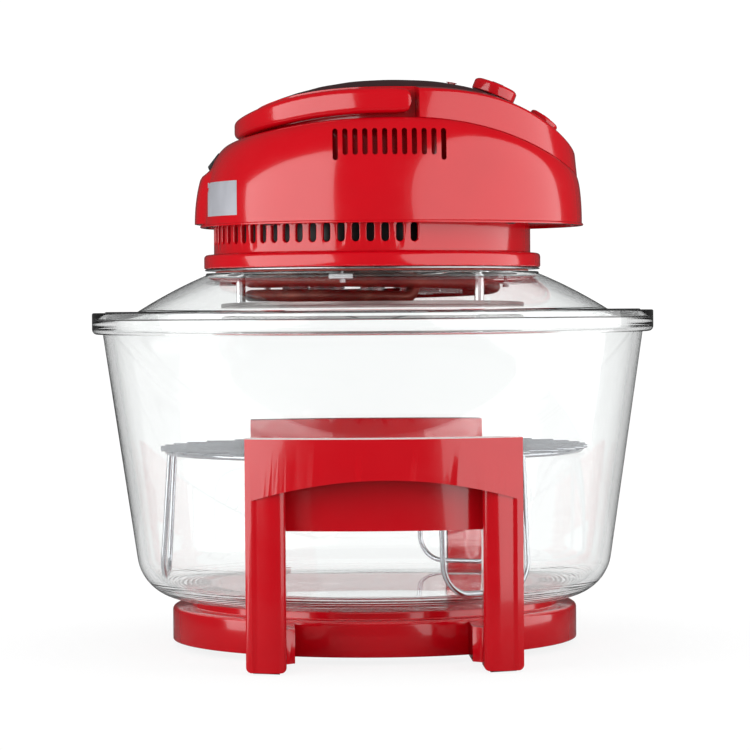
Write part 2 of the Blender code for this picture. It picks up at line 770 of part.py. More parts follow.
def glass_bowl():
    """Turn the bowl: flat base, round corner, sloping wall, and a thick rim with a rebate."""
    rim_low = NECK_LEVEL
    outer = [(0, BOWL_BASE)] + bowl_arc(0, ARC_STEPS)
    outer.append((BOWL_NECK_RADIUS, rim_low))
    for step in range(ARC_STEPS - 1):
        angle = -math.pi / 2 + math.pi / 2 * step / (ARC_STEPS - 2)
        outer.append((BOWL_RIM_RADIUS - RIM_ROUND + RIM_ROUND * math.cos(angle),
                      rim_low + RIM_ROUND + RIM_ROUND * math.sin(angle)))
    outer += [(BOWL_RIM_RADIUS, BOWL_RIM_TOP - RIM_EDGE), (BOWL_RIM_RADIUS - RIM_EDGE, BOWL_RIM_TOP)]
    inner = [(REBATE_RADIUS, BOWL_RIM_TOP), (REBATE_RADIUS, REBATE_LEVEL),
             (bowl_inner_radius(REBATE_LEVEL), REBATE_LEVEL)]
    inner += list(reversed(bowl_arc(BOWL_WALL, ARC_STEPS)))
    inner.append((0, BOWL_BASE + BOWL_WALL))
    make_object("glass_bowl", turn(outer + inner, BOWL_STEPS), GLASS)


def wire(points, radius, closed=False):
    """Skin a wire of a few sides along a row of points."""
    count = len(points)
    rings = []
    side = None
    for index, point in enumerate(points):
        before = points[index - 1] if index or closed else point
        after = points[(index + 1) % count] if index < count - 1 or closed else point
        along = (after - before).normalized()
        if side is None:
            side = along.orthogonal().normalized()
        side = (side - along * side.dot(along)).normalized()
        other = along.cross(side)
        rings.append([point + radius * (side * math.cos(turned) + other * math.sin(turned))
                      for turned in (math.tau * step / WIRE_STEPS for step in range(WIRE_STEPS))])
    return loft(rings, closed)


def rack_foot_height():
    """Return the height of the rack's wire centre where its legs stand on the bowl's corner."""
    centre, _ = bowl_corner()
    inside = BOWL_CORNER - BOWL_WALL - RACK_WIRE - 3 * FIT_GAP
    reach = math.hypot(RACK_FOOT_RADIUS, RACK_LEG_HALF_WIDTH - RACK_LEG_CORNER)
    return centre[1] - math.sqrt(inside ** 2 - (reach - centre[0]) ** 2)


def rack_leg(angle):
    """Return the centre line of one U-shaped leg, splayed from the ring to the bowl's corner."""
    foot = rack_foot_height()
    top = RACK_HEIGHT
    half = RACK_LEG_HALF_WIDTH
    sides = []
    for step in range(ARC_STEPS):
        turned = math.pi / 2 * step / (ARC_STEPS - 1)
        sides.append((half - RACK_LEG_CORNER * (1 - math.cos(turned)),
                      foot + RACK_LEG_CORNER * (1 - math.sin(turned))))
    profile = [(half, top)] + sides + [(-across, level) for across, level in reversed(sides)]
    profile.append((-half, top))
    points = []
    for across, level in profile:
        share = (top - level) / (top - foot)
        start = math.sqrt(RACK_RING_RADIUS ** 2 - half ** 2)
        radius = start + (RACK_FOOT_RADIUS - start) * share
        points.append(polar(radius, angle, level) + polar(across, angle + math.pi / 2))
    return points


def wire_rack():
    """Weld a row of bars on a ring, with three U-shaped legs under it."""
    ring = [polar(RACK_RING_RADIUS, math.tau * step / RACK_RING_STEPS, RACK_HEIGHT)
            for step in range(RACK_RING_STEPS)]
    rack = make_object("wire_rack", wire(ring, RACK_WIRE, closed=True), CHROME)
    bars = bmesh.new()
    level = RACK_HEIGHT + (RACK_WIRE + RACK_BAR_WIRE) * RACK_WELD_SHARE
    for number in range(RACK_BAR_COUNT):
        y = RACK_BAR_PITCH * (number - (RACK_BAR_COUNT - 1) / 2)
        reach = math.sqrt(RACK_RING_RADIUS ** 2 - y ** 2) + RACK_BAR_OVERHANG
        merge(bars, wire([Vector((-reach, y, level)), Vector((reach, y, level))], RACK_BAR_WIRE))
    join(rack, bars)
    legs = bmesh.new()
    for angle in RACK_LEG_ANGLES:
        merge(legs, wire(rack_leg(angle), RACK_WIRE))
    join(rack, legs)
    dress(rack, CHROME)


def glass_lid():
    """Turn the lid: a flat flange in the bowl's rebate, a shallow cone, and a lipped neck."""
    top = LID_BASE + LID_GLASS_WALL
    control = (LID_FOOT_RADIUS + (LID_NECK_RADIUS - LID_FOOT_RADIUS) * LID_CONTROL_RADIUS_SHARE,
               top + (LID_NECK_BASE - top) * LID_CONTROL_HEIGHT_SHARE)
    cone = curve_through((LID_FOOT_RADIUS, top), control, (LID_NECK_RADIUS, LID_NECK_BASE),
                         LID_CURVE_STEPS)
    outer = [(LID_FLANGE_RADIUS, LID_BASE), (LID_FLANGE_RADIUS, top - RIM_EDGE),
             (LID_FLANGE_RADIUS - RIM_EDGE, top), (LID_FLANGE_INNER, top)] + cone
    outer += [(LID_NECK_RADIUS, LID_NECK_TOP), (LID_LIP_RADIUS, LID_NECK_TOP),
              (LID_LIP_RADIUS, LIP_BASE), (LID_NECK_RADIUS - LID_GLASS_WALL, LIP_BASE)]
    slope = LID_GLASS_WALL / 2
    inner = [(radius - slope, height - LID_GLASS_WALL) for radius, height in cone[:0:-2]]
    outer += inner + [(LID_FLANGE_INNER - slope, LID_BASE)]
    make_object("glass_lid", turn(outer, BOWL_STEPS, closed=True), GLASS)


def flat_ring(name, inner, outer, bottom, top, finish, steps=BOWL_STEPS):
    """Make a plain flat ring."""
    section = [(inner, bottom), (outer, bottom), (outer, top), (inner, top)]
    return make_object(name, turn(section, steps, closed=True), finish)


def lid_clamp():
    """Make the gasket over the glass neck, and the three screwed clips under its lip."""
    flat_ring("lid_gasket", LID_LIP_RADIUS + FIT_GAP, LID_LIP_RADIUS + GASKET_WIDTH, GASKET_BASE,
              GASKET_BASE + GASKET_HEIGHT, SILICONE)
    outer = LID_NECK_RADIUS - LID_GLASS_WALL - RUNNING_GAP
    half = CLIP_WIDTH / 2
    for number, angle in enumerate(clamp_screw_angles(), 1):
        plate = block((CLAMP_INNER, -half, CLAMP_TOP - CLAMP_HEIGHT), (outer, half, CLAMP_TOP))
        clip = make_object(f"clamp_clip_{number}", spin_to(plate, angle), STEEL)
        cut(clip, clamp_bores(CLAMP_TOP - 2 * CLAMP_HEIGHT, CLAMP_TOP + CLAMP_HEIGHT))
        dress(clip, STEEL)
        point = polar(CLAMP_SCREW_RING, angle, CLAMP_TOP - CLAMP_HEIGHT - FIT_GAP)
        length = FLANGE_BASE + CLAMP_SCREW_BITE - FIT_GAP - point.z
        screw(f"clamp_screw_{number}", point, (0, 0, 1), length, CLAMP_SCREW_RADIUS, CLAMP_SCREW_HEAD)


def clamp_screw_angles():
    """Return the angles of the clamp screws, midway between the guard's posts."""
    return [angle + math.pi / 3 for angle in POST_ANGLES]


def clamp_bores(bottom, top):
    """Return the bores for the clamp screws between two heights."""
    bores = bmesh.new()
    for angle in clamp_screw_angles():
        bore = rod(CLAMP_SCREW_RADIUS + FIT_GAP, bottom, top, SCREW_STEPS)
        merge(bores, shift(bore, polar(CLAMP_SCREW_RING, angle)))
    return bores


def post_bores(bottom, top):
    """Return the bores for the studs of the guard's posts between two heights."""
    bores = bmesh.new()
    for angle in POST_ANGLES:
        bore = rod(POST_STUD_RADIUS + FIT_GAP, bottom, top, SCREW_STEPS)
        merge(bores, shift(bore, polar(POST_RING, angle)))
    return bores


def heat_shield():
    """Turn the dished steel plate, bored for the shaft, the screws, the studs and the heater."""
    rise = SHIELD_BASE + SHIELD_DISH_RISE
    inner = SHIELD_DISH_RADIUS - SHIELD_WALL
    section = [
        (SHIELD_RADIUS, SHIELD_BASE), (SHIELD_RADIUS, SHIELD_BASE + SHIELD_WALL),
        (SHIELD_DISH_RADIUS, SHIELD_BASE + SHIELD_WALL), (SHIELD_DISH_RADIUS, SHIELD_TOP),
        (SHIELD_BORE, SHIELD_TOP), (SHIELD_BORE, rise), (inner, rise), (inner, SHIELD_BASE),
    ]
    shield = make_object("heat_shield", turn(section, BOWL_STEPS, closed=True), STEEL)
    cut(shield, clamp_bores(SHIELD_BASE - OVERRUN, FLANGE_BASE + OVERRUN))
    cut(shield, post_bores(SHIELD_BASE - OVERRUN, FLANGE_BASE + OVERRUN))
    cut(shield, heater_bores())
    dress(shield, STEEL)


def heater_bores():
    """Return the bores that the heater's two ends pass through, in the shield and the floor."""
    bores = bmesh.new()
    for point in coil_path()[0], coil_path()[-1]:
        bore = rod(COIL_TUBE + FIT_GAP, SHIELD_BASE, FLOOR_TOP + OVERRUN)
        merge(bores, shift(bore, (point.x, point.y, 0)))
    return bores


# Head


def plan(angle, centre, rear, front, half_width, inset=0.0):
    """Return a plan point of an outline with a shorter rear half and a longer front half."""
    length = (front if math.cos(angle) > 0 else rear) - inset
    return centre + length * math.cos(angle), (half_width - inset) * math.sin(angle)


def base_plan(angle, inset=0.0):
    """Return a plan point of the shell's lower outline."""
    return plan(angle, 0, SHELL_REAR, SHELL_FRONT, SHELL_HALF_WIDTH, inset)


def collar_plan(angle, inset=0.0):
    """Return a plan point of the collar's outline."""
    return plan(angle, COLLAR_CENTRE, COLLAR_REAR, COLLAR_FRONT, COLLAR_HALF_WIDTH, inset)


def fall(x, rear_drop, front_drop, power):
    """Return how far an edge of the collar has dropped at x, from its middle to either end."""
    away = x - COLLAR_CENTRE
    if away > 0:
        return front_drop * (away / COLLAR_FRONT) ** power
    return rear_drop * (-away / COLLAR_REAR) ** power


def collar_top(x):
    """Return the height of the collar's upper edge."""
    return COLLAR_TOP - fall(x, COLLAR_TOP_REAR_DROP, COLLAR_TOP_FRONT_DROP, COLLAR_TOP_POWER)


def collar_low(x):
    """Return the height of the collar's lower edge."""
    return COLLAR_LOW - fall(x, COLLAR_LOW_REAR_DROP, COLLAR_LOW_FRONT_DROP, COLLAR_LOW_POWER)


def crown(x, y):
    """Return the height of the crowned top of the head."""
    away = x - COLLAR_CENTRE
    along = away / (COLLAR_FRONT if away > 0 else COLLAR_REAR)
    inside = max(0.0, 1 - along ** 2 - (y / COLLAR_HALF_WIDTH) ** 2)
    return collar_top(x) + CROWN * inside ** CROWN_POWER


def crown_normal(x):
    """Return the upward normal of the crowned top on its centre line."""
    slope = (crown(x + FIT_GAP, 0) - crown(x - FIT_GAP, 0)) / (2 * FIT_GAP)
    return Vector((-slope, 0, 1)).normalized()


def in_pocket(angle):
    """Tell whether the carrying handle's pocket runs at this angle."""
    return collar_plan(angle)[0] < POCKET_FRONT_X


def shell_angles():
    """Return the angles of the shell's points, with a tight pair at each end of the pocket."""
    edge = math.acos((POCKET_FRONT_X - COLLAR_CENTRE) / COLLAR_FRONT)
    tight = FIT_GAP / COLLAR_HALF_WIDTH
    front = [-edge + tight + (edge - tight) * 2 * step / SHELL_FRONT_STEPS
             for step in range(SHELL_FRONT_STEPS + 1)]
    sweep = math.tau - 2 * (edge + tight)
    rear = [edge + tight + sweep * step / SHELL_REAR_STEPS for step in range(SHELL_REAR_STEPS + 1)]
    return front + rear


def ramp(angle, height):
    """Return how far the ramp under the inlet stands out from the shell."""
    turned = abs((angle % math.tau) - math.pi) / RAMP_HALF_ANGLE
    across = max(0.0, 1 - turned ** 4)
    above = min(1.0, max(0.0, (RAMP_TOP - height) / RAMP_FADE))
    return RAMP_DEPTH * across * above


def dome_ring(angles, turned, inset):
    """Return one ring of the dome, from the lip at no turn to the collar at a quarter turn."""
    ring = []
    share = 1 - math.cos(turned)
    for angle in angles:
        low = base_plan(angle, inset)
        high = collar_plan(angle, inset + COLLAR_STEP)
        base = SHELL_BOTTOM + SHELL_LIP_HEIGHT
        target = collar_low(high[0]) - inset
        height = base + (target - base) * math.sin(turned)
        x = low[0] + (high[0] - low[0]) * share - ramp(angle, height + inset)
        y = low[1] + (high[1] - low[1]) * share
        ring.append((x, y, height))
    return ring


def collar_ring(angles, front_inset, rear_inset, front_height, rear_height):
    """Return a ring round the collar, whose inset and height differ in the pocket."""
    ring = []
    for angle in angles:
        pocket = in_pocket(angle)
        x, y = collar_plan(angle, rear_inset if pocket else front_inset)
        ring.append((x, y, rear_height(x) if pocket else front_height(x)))
    return ring


def crown_ring(angles, inset, share, drop):
    """Return a ring of the crowned top, shrunk towards its centre by a share and lowered."""
    ring = []
    for angle in angles:
        x, y = collar_plan(angle, inset)
        x, y = COLLAR_CENTRE + (x - COLLAR_CENTRE) * share, y * share
        ring.append((x, y, crown(x, y) - drop))
    return ring


def bore_along(point, direction, radius, below, above, steps=SMALL_STEPS):
    """Return a round cutter through a point along a direction."""
    return aim(rod(radius, -below, above, steps), direction, point)


def capsule(width, low, high, steps=SLOT_ROUND_STEPS):
    """Return the outline of an upright slot with round ends, as (across, height) points."""
    radius = width / 2
    points = []
    for centre, start in ((high - radius, 0.0), (low + radius, math.pi)):
        for step in range(steps + 1):
            angle = start + math.pi * step / steps
            points.append((radius * math.cos(angle), centre + radius * math.sin(angle)))
    return points


def upright_cutter(outline, near, far, angle):
    """Extrude an (across, height) outline outwards from the axis, facing an angle about Z."""
    bm = prism(outline, near, far)
    for vert in bm.verts:
        across, height, out = vert.co
        vert.co = polar(out, angle, height) + polar(across, angle + math.pi / 2)
    return bm


def lower_housing():
    """Loft the clamp flange, drum, floor and deck in one, then cut the slots and screw bores."""
    bore = SHIELD_DISH_RADIUS + 3 * FIT_GAP
    inside = DRUM_RADIUS - DRUM_WALL
    margin = SHELL_WALL + 2 * FIT_GAP
    angles = [math.tau * (step + 0.25) / HOUSING_STEPS for step in range(HOUSING_STEPS)]
    section = [
        (bore, FLANGE_BASE), (FLANGE_RADIUS, FLANGE_BASE), (FLANGE_RADIUS, FLANGE_TOP - FLANGE_ROUND),
        (FLANGE_RADIUS - FLANGE_ROUND, FLANGE_TOP), (DRUM_RADIUS, FLANGE_TOP),
        (DRUM_RADIUS, DECK_BOTTOM), (None, DECK_BOTTOM), (None, DECK_TOP), (inside, DECK_TOP),
        (inside, FLOOR_TOP), (FLOOR_BORE, FLOOR_TOP), (FLOOR_BORE, FLOOR_BASE), (bore, FLOOR_BASE),
    ]
    rings = []
    for radius, height in section:
        if radius is None:
            rings.append([(*base_plan(angle, margin), height) for angle in angles])
        else:
            rings.append([polar(radius, angle, height) for angle in angles])
    housing = make_object("lower_housing", loft(rings, closed=True), RED_PLASTIC)
    top = DECK_BOTTOM - SLOT_DROP
    outline = capsule(SLOT_WIDTH, top - SLOT_HEIGHT, top)
    cutters = bmesh.new()
    for number in range(SLOT_COUNT):
        angle = math.pi + math.tau * (number - (SLOT_COUNT - 1) / 2) / (2 * HOUSING_STEPS)
        merge(cutters, upright_cutter(outline, inside - OVERRUN, DRUM_RADIUS + OVERRUN, angle))
    cut(housing, cutters)
    bores = clamp_bores(FLANGE_BASE - OVERRUN, FLANGE_BASE + CLAMP_SCREW_BITE)
    merge(bores, post_bores(FLANGE_BASE - OVERRUN, FLANGE_BASE + POST_STUD_LENGTH + FIT_GAP))
    merge(bores, heater_bores())
    for x, y in boss_places():
        merge(bores, bore_along((x, y, DECK_BOTTOM), (0, 0, 1), SCREW_RADIUS + FIT_GAP, OVERRUN,
                                OVERRUN, SCREW_STEPS))
    cut(housing, bores)
    dress(housing, RED_PLASTIC)


def boss_places():
    """Return the plan points of the shell's bosses."""
    return [base_plan(angle, BOSS_INSET) for angle in BOSS_ANGLES]


def louvres():
    """Return the cutters of the louvres in both sides of the shell."""
    cutters = bmesh.new()
    for number in range(LOUVRE_COUNT):
        x = LOUVRE_CENTRE + LOUVRE_PITCH * (number - (LOUVRE_COUNT - 1) / 2)
        longer = LOUVRE_END_DROP if number in (0, LOUVRE_COUNT - 1) else 0
        outline = capsule(LOUVRE_WIDTH, LOUVRE_BOTTOM - longer, LOUVRE_TOP)
        for angle in (math.pi / 2, -math.pi / 2):
            slot = upright_cutter(outline, COLLAR_HALF_WIDTH - 2 * OVERRUN,
                                  SHELL_HALF_WIDTH + OVERRUN, angle)
            merge(cutters, shift(slot, (x, 0, 0)))
    return cutters


def knob_places():
    """Return each knob's point on the panel and its axis, timer first."""
    return [(Vector((x, 0, crown(x, 0))), crown_normal(x)) for x in (TIMER_X, DIAL_X)]


def lamp_places():
    """Return each lamp's point on the panel and its axis."""
    return [(Vector((LAMP_X, y, crown(LAMP_X, y))), crown_normal(LAMP_X)) for y in (-LAMP_Y, LAMP_Y)]


def panel_bores():
    """Return the bores for spindles and lamps through the panel and the shell under it."""
    bores = bmesh.new()
    deep = SEAT_DROP + SHELL_WALL + OVERRUN
    for point, normal in knob_places():
        merge(bores, bore_along(point, normal, SWITCH_NECK_RADIUS + FIT_GAP, deep, OVERRUN))
    for point, normal in lamp_places():
        merge(bores, bore_along(point, normal, LAMP_RADIUS + FIT_GAP, deep, OVERRUN))
    return bores


def pivot_points():
    """Return the carrying handle's pivot on both sides, at the wall of its pocket."""
    across = COLLAR_HALF_WIDTH - SKIN_INSET
    return [(Vector((CARRY_PIVOT_X, side * across, CARRY_PIVOT_Z)), (0, side, 0)) for side in (-1, 1)]


def inlet_direction():
    """Return the outward direction of the mains inlet."""
    return -math.cos(INLET_TILT), 0, math.sin(INLET_TILT)


def inlet_block(gap, below, above):
    """Return a block of the inlet's section, narrowed by a gap, along its direction."""
    half_width, half_height = INLET_WIDTH / 2 - gap, INLET_HEIGHT / 2 - gap
    low = (-half_width, -half_height, -below)
    high = (half_width, half_height, above)
    return aim(block(low, high), inlet_direction(), (-INLET_X, 0, INLET_Z))


def plunger_place():
    """Return the plan point of the safety switch's plunger, under the far arm of the handle."""
    along = (PLUNGER_X - COLLAR_CENTRE) / COLLAR_REAR
    y = COLLAR_HALF_WIDTH * math.sqrt(1 - along ** 2) - CARRY_THICKNESS + 2 * PLUNGER_RADIUS
    return PLUNGER_X, y


def head_shell():
    """Loft the shell: lip, dome, collar with the handle's pocket, and the panel's seat."""
    angles = shell_angles()
    turns = [math.pi / 2 * step / DOME_STEPS for step in range(DOME_STEPS + 1)]
    skin_turns = [math.pi / 2 * step / SKIN_STEPS for step in range(SKIN_STEPS + 1)]
    lip = SHELL_BOTTOM + SHELL_LIP_HEIGHT / 2
    under = SEAT_DROP + SHELL_WALL
    skin = SHELL_WALL + COLLAR_DRAFT + COLLAR_STEP
    outer = [[(*base_plan(angle, -SHELL_LIP), SHELL_BOTTOM) for angle in angles],
             [(*base_plan(angle, -SHELL_LIP), lip) for angle in angles]]
    outer += [dome_ring(angles, turned, 0) for turned in turns]
    outer += [
        collar_ring(angles, 0, POCKET_DEPTH, collar_low, collar_low),
        collar_ring(angles, COLLAR_DRAFT, POCKET_DEPTH, below_top, below_top),
        collar_ring(angles, COLLAR_DRAFT + COLLAR_EDGE, POCKET_DEPTH + COLLAR_EDGE / 2,
                    collar_top, collar_top),
        crown_ring(angles, SEAT_INSET, 1, 0),
        crown_ring(angles, SEAT_INSET, 1, SEAT_DROP),
    ]
    outer += [crown_ring(angles, SEAT_INSET, share, SEAT_DROP) for share in CROWN_RING_SHARES]
    outer.append([(COLLAR_CENTRE, 0, crown(COLLAR_CENTRE, 0) - SEAT_DROP)])
    inner = [[(COLLAR_CENTRE, 0, crown(COLLAR_CENTRE, 0) - under)]]
    inner += [crown_ring(angles, SKIN_INSET, share, under) for share in reversed(CROWN_RING_SHARES)]
    inner += [
        crown_ring(angles, SKIN_INSET, 1, under),
        collar_ring(angles, skin, SKIN_INSET, under_top, under_top),
        collar_ring(angles, skin, SKIN_INSET, collar_low, under_ledge),
    ]
    inner += [dome_ring(angles, turned, SHELL_WALL) for turned in reversed(skin_turns)]
    inner.append([(*base_plan(angle, SHELL_WALL), SHELL_BOTTOM) for angle in angles])
    shell = make_object("head_shell", loft(outer + inner, closed=True), RED_PLASTIC)
    bosses = bmesh.new()
    bores = louvres()
    merge(bores, panel_bores())
    merge(bores, inlet_block(0, INLET_DEPTH, OVERRUN))
    foot = DECK_TOP + FIT_GAP
    for x, y in boss_places():
        merge(bosses, shift(rod(BOSS_RADIUS, foot, foot + BOSS_HEIGHT), (x, y, 0)))
        bore = rod(SCREW_RADIUS + FIT_GAP, foot - OVERRUN, foot + BOSS_BORE_DEPTH, SCREW_STEPS)
        merge(bores, shift(bore, (x, y, 0)))
    for point, direction in pivot_points():
        merge(bores, bore_along(point, direction, PIN_RADIUS + FIT_GAP, OVERRUN,
                                SHELL_WALL + OVERRUN / 2))
    x, y = plunger_place()
    merge(bores, bore_along((x, y, collar_low(x)), (0, 0, 1), PLUNGER_RADIUS + FIT_GAP,
                            SHELL_WALL + OVERRUN / 2, OVERRUN / 2))
    join(shell, bosses)
    cut(shell, bores)
    dress(shell, RED_PLASTIC)


def below_top(x):
    """Return the height just under the collar's rounded upper edge."""
    return collar_top(x) - COLLAR_EDGE


def under_top(x):
    """Return the height of the shell's inner skin under the collar's upper edge."""
    return collar_top(x) - COLLAR_EDGE - SHELL_WALL


def under_ledge(x):
    """Return the height of the inner skin under the pocket's ledge."""
    return collar_low(x) - SHELL_WALL


def top_panel():
    """Loft the crowned glossy panel that fills the seat inside the collar."""
    angles = shell_angles()
    shares = (1,) + CROWN_RING_SHARES
    rings = [[(COLLAR_CENTRE, 0, crown(COLLAR_CENTRE, 0))]]
    rings += [crown_ring(angles, PANEL_INSET, share, 0) for share in reversed(shares)]
    rings += [crown_ring(angles, PANEL_INSET, share, PANEL_WALL) for share in shares]
    rings.append([(COLLAR_CENTRE, 0, crown(COLLAR_CENTRE, 0) - PANEL_WALL)])
    panel = make_object("top_panel", loft(rings), DARK_PANEL)
    cut(panel, panel_bores())
    dress(panel, DARK_PANEL)


def carry_station(angle, low, high):
    """Return one section of the carrying handle, a bevelled rectangle across its path."""
    edge = min(CARRY_EDGE, (high - low) / 4)
    across = CARRY_THICKNESS
    outline = ((edge, low), (0, low + edge), (0, high - edge), (edge, high),
               (across - edge, high), (across, high - edge), (across, low + edge),
               (across - edge, low))
    return [Vector((*collar_plan(angle, inset), height)) for inset, height in outline]


def carry_handle():
    """Loft the U-shaped handle round the rear of the collar, with a round end at each pin."""
    stations = []
    for tip in CARRY_END_ANGLES:
        x = CARRY_PIVOT_X + CARRY_END_RADIUS * math.sin(tip)
        half = CARRY_END_RADIUS * math.cos(tip)
        angle = math.acos((x - COLLAR_CENTRE) / COLLAR_FRONT)
        stations.append((angle, CARRY_PIVOT_Z - half, CARRY_PIVOT_Z + half))
    start = math.acos((CARRY_PIVOT_X - COLLAR_CENTRE) / COLLAR_FRONT)
    arms = []
    for step in range(CARRY_STATIONS + 1):
        angle = start + (math.tau - 2 * start) * step / CARRY_STATIONS
        x = collar_plan(angle)[0]
        arms.append((angle, collar_low(x) + CARRY_LIFT, collar_top(x)))
    mirrored = [(math.tau - angle, low, high) for angle, low, high in reversed(stations)]
    rings = [carry_station(*station) for station in stations + arms + mirrored]
    handle = make_object("carry_handle", loft(rings), RED_PLASTIC)
    bores = bmesh.new()
    for point, direction in pivot_points():
        reach = SKIN_INSET - CARRY_THICKNESS + PIN_REACH + FIT_GAP
        merge(bores, bore_along(point, direction, PIN_RADIUS + FIT_GAP, 0, reach))
    cut(handle, bores)
    dress(handle, RED_PLASTIC)
    seat_origin(handle, (CARRY_PIVOT_X, 0, CARRY_PIVOT_Z))


def carry_pins():
    """Place the two headed pins that the handle turns on, from inside the pocket's wall."""
    for name, (point, direction) in zip(("left", "right"), pivot_points()):
        length = SKIN_INSET - CARRY_THICKNESS + PIN_REACH
        inside = point - Vector(direction) * 2 * FIT_GAP
        screw("handle_pin_" + name, inside, direction, length, PIN_RADIUS, PIN_HEAD_RADIUS)


def knob(name, place, radius, height):
    """Turn a domed knob, scoop it out on both sides of its grip, and bore it for the spindle."""
    point, normal = place
    low = KNOB_RAISE
    dome = height * KNOB_DOME_SHARE
    section = [(0, low), (radius, low), (radius, height - dome)]
    section += curve_through((radius * KNOB_SHOULDER_SHARE, height - dome / 2),
                             (radius * KNOB_CROWN_SHARE, height), (0, height), SKIN_STEPS)
    body = make_object(name, turn(section, WHEEL_STEPS), RED_PLASTIC)
    grip = radius * KNOB_GRIP_SHARE
    floor = height * KNOB_SCOOP_SHARE
    scoops = bmesh.new()
    for side in (-1, 1):
        corners = sorted((side * grip, side * (radius + OVERRUN)))
        merge(scoops, block((-radius - OVERRUN, corners[0], floor),
                            (radius + OVERRUN, corners[1], height + OVERRUN)))
    pocket = radius * KNOB_POCKET_SHARE
    rim = turn([(0, floor - OVERRUN), (pocket, floor - OVERRUN),
                (pocket, height + OVERRUN), (0, height + OVERRUN)], WHEEL_STEPS)
    trimmed = make_object(name + "_scoops", scoops)
    combine(trimmed, rim, "INTERSECT")
    pockets = bmesh.new()
    pockets.from_mesh(trimmed.data)
    bpy.data.objects.remove(trimmed)
    cut(body, pockets)
    cut(body, rod(SPINDLE_RADIUS + FIT_GAP, low - OVERRUN, height * SPINDLE_BITE_SHARE))
    dress(body, RED_PLASTIC)
    set_on(body, point, normal)


def set_on(made, point, direction):
    """Stand an object's own Z axis on a point, along a direction."""
    made.location = point
    made.rotation_mode = "QUATERNION"
    made.rotation_quaternion = Vector(direction).to_track_quat("Z", "Y")


def control(name, place, radius, height):
    """Make a knob, its spindle, and the switch body under the shell that it turns."""
    point, normal = place
    knob(name + "_knob", place, radius, height)
    under = (SEAT_DROP + SHELL_WALL) * normal.z
    body_top = -under - SWITCH_DROP
    spindle = rod(SPINDLE_RADIUS, body_top - SPINDLE_DEPTH, height * SPINDLE_BITE_SHARE - FIT_GAP)
    set_on(make_object(name + "_spindle", spindle, STEEL), point, normal)
    half = SWITCH_WIDTH / 2
    bottom = body_top - SWITCH_HEIGHT
    case = rounded_block((-half, -half, bottom), (half, half, body_top), SWITCH_DROP)
    body = make_object(name + "_switch", case, BLACK_PLASTIC)
    join(body, rod(SWITCH_NECK_RADIUS, body_top - SWITCH_DROP, -FIT_GAP - PANEL_WALL))
    cut(body, rod(SPINDLE_RADIUS + FIT_GAP, body_top - SPINDLE_DEPTH - FIT_GAP, OVERRUN))
    dress(body, BLACK_PLASTIC)
    set_on(body, point, normal)


def lamps():
    """Make the two indicator lenses that plug into the panel."""
    for name, finish, (point, normal) in zip(("power", "heating"), (LAMP_RED, LAMP_GREEN), lamp_places()):
        section = [(0, -LAMP_LENGTH), (LAMP_RADIUS, -LAMP_LENGTH), (LAMP_RADIUS, 2 * FIT_GAP),
                   (LAMP_FLANGE, 2 * FIT_GAP), (LAMP_FLANGE, LAMP_FLANGE_HEIGHT),
                   (0, LAMP_FLANGE_HEIGHT + FIT_GAP)]
        set_on(make_object(name + "_lamp", turn(section, SMALL_STEPS), finish), point, normal)


def head_screws():
    """Place the screws that go up through the housing's deck into the shell's bosses."""
    for number, (x, y) in enumerate(boss_places(), 1):
        screw(f"head_screw_{number}", (x, y, DECK_BOTTOM - FIT_GAP), (0, 0, 1),
              DECK_WALL + BOSS_BORE_DEPTH, SCREW_RADIUS, SCREW_HEAD_RADIUS)


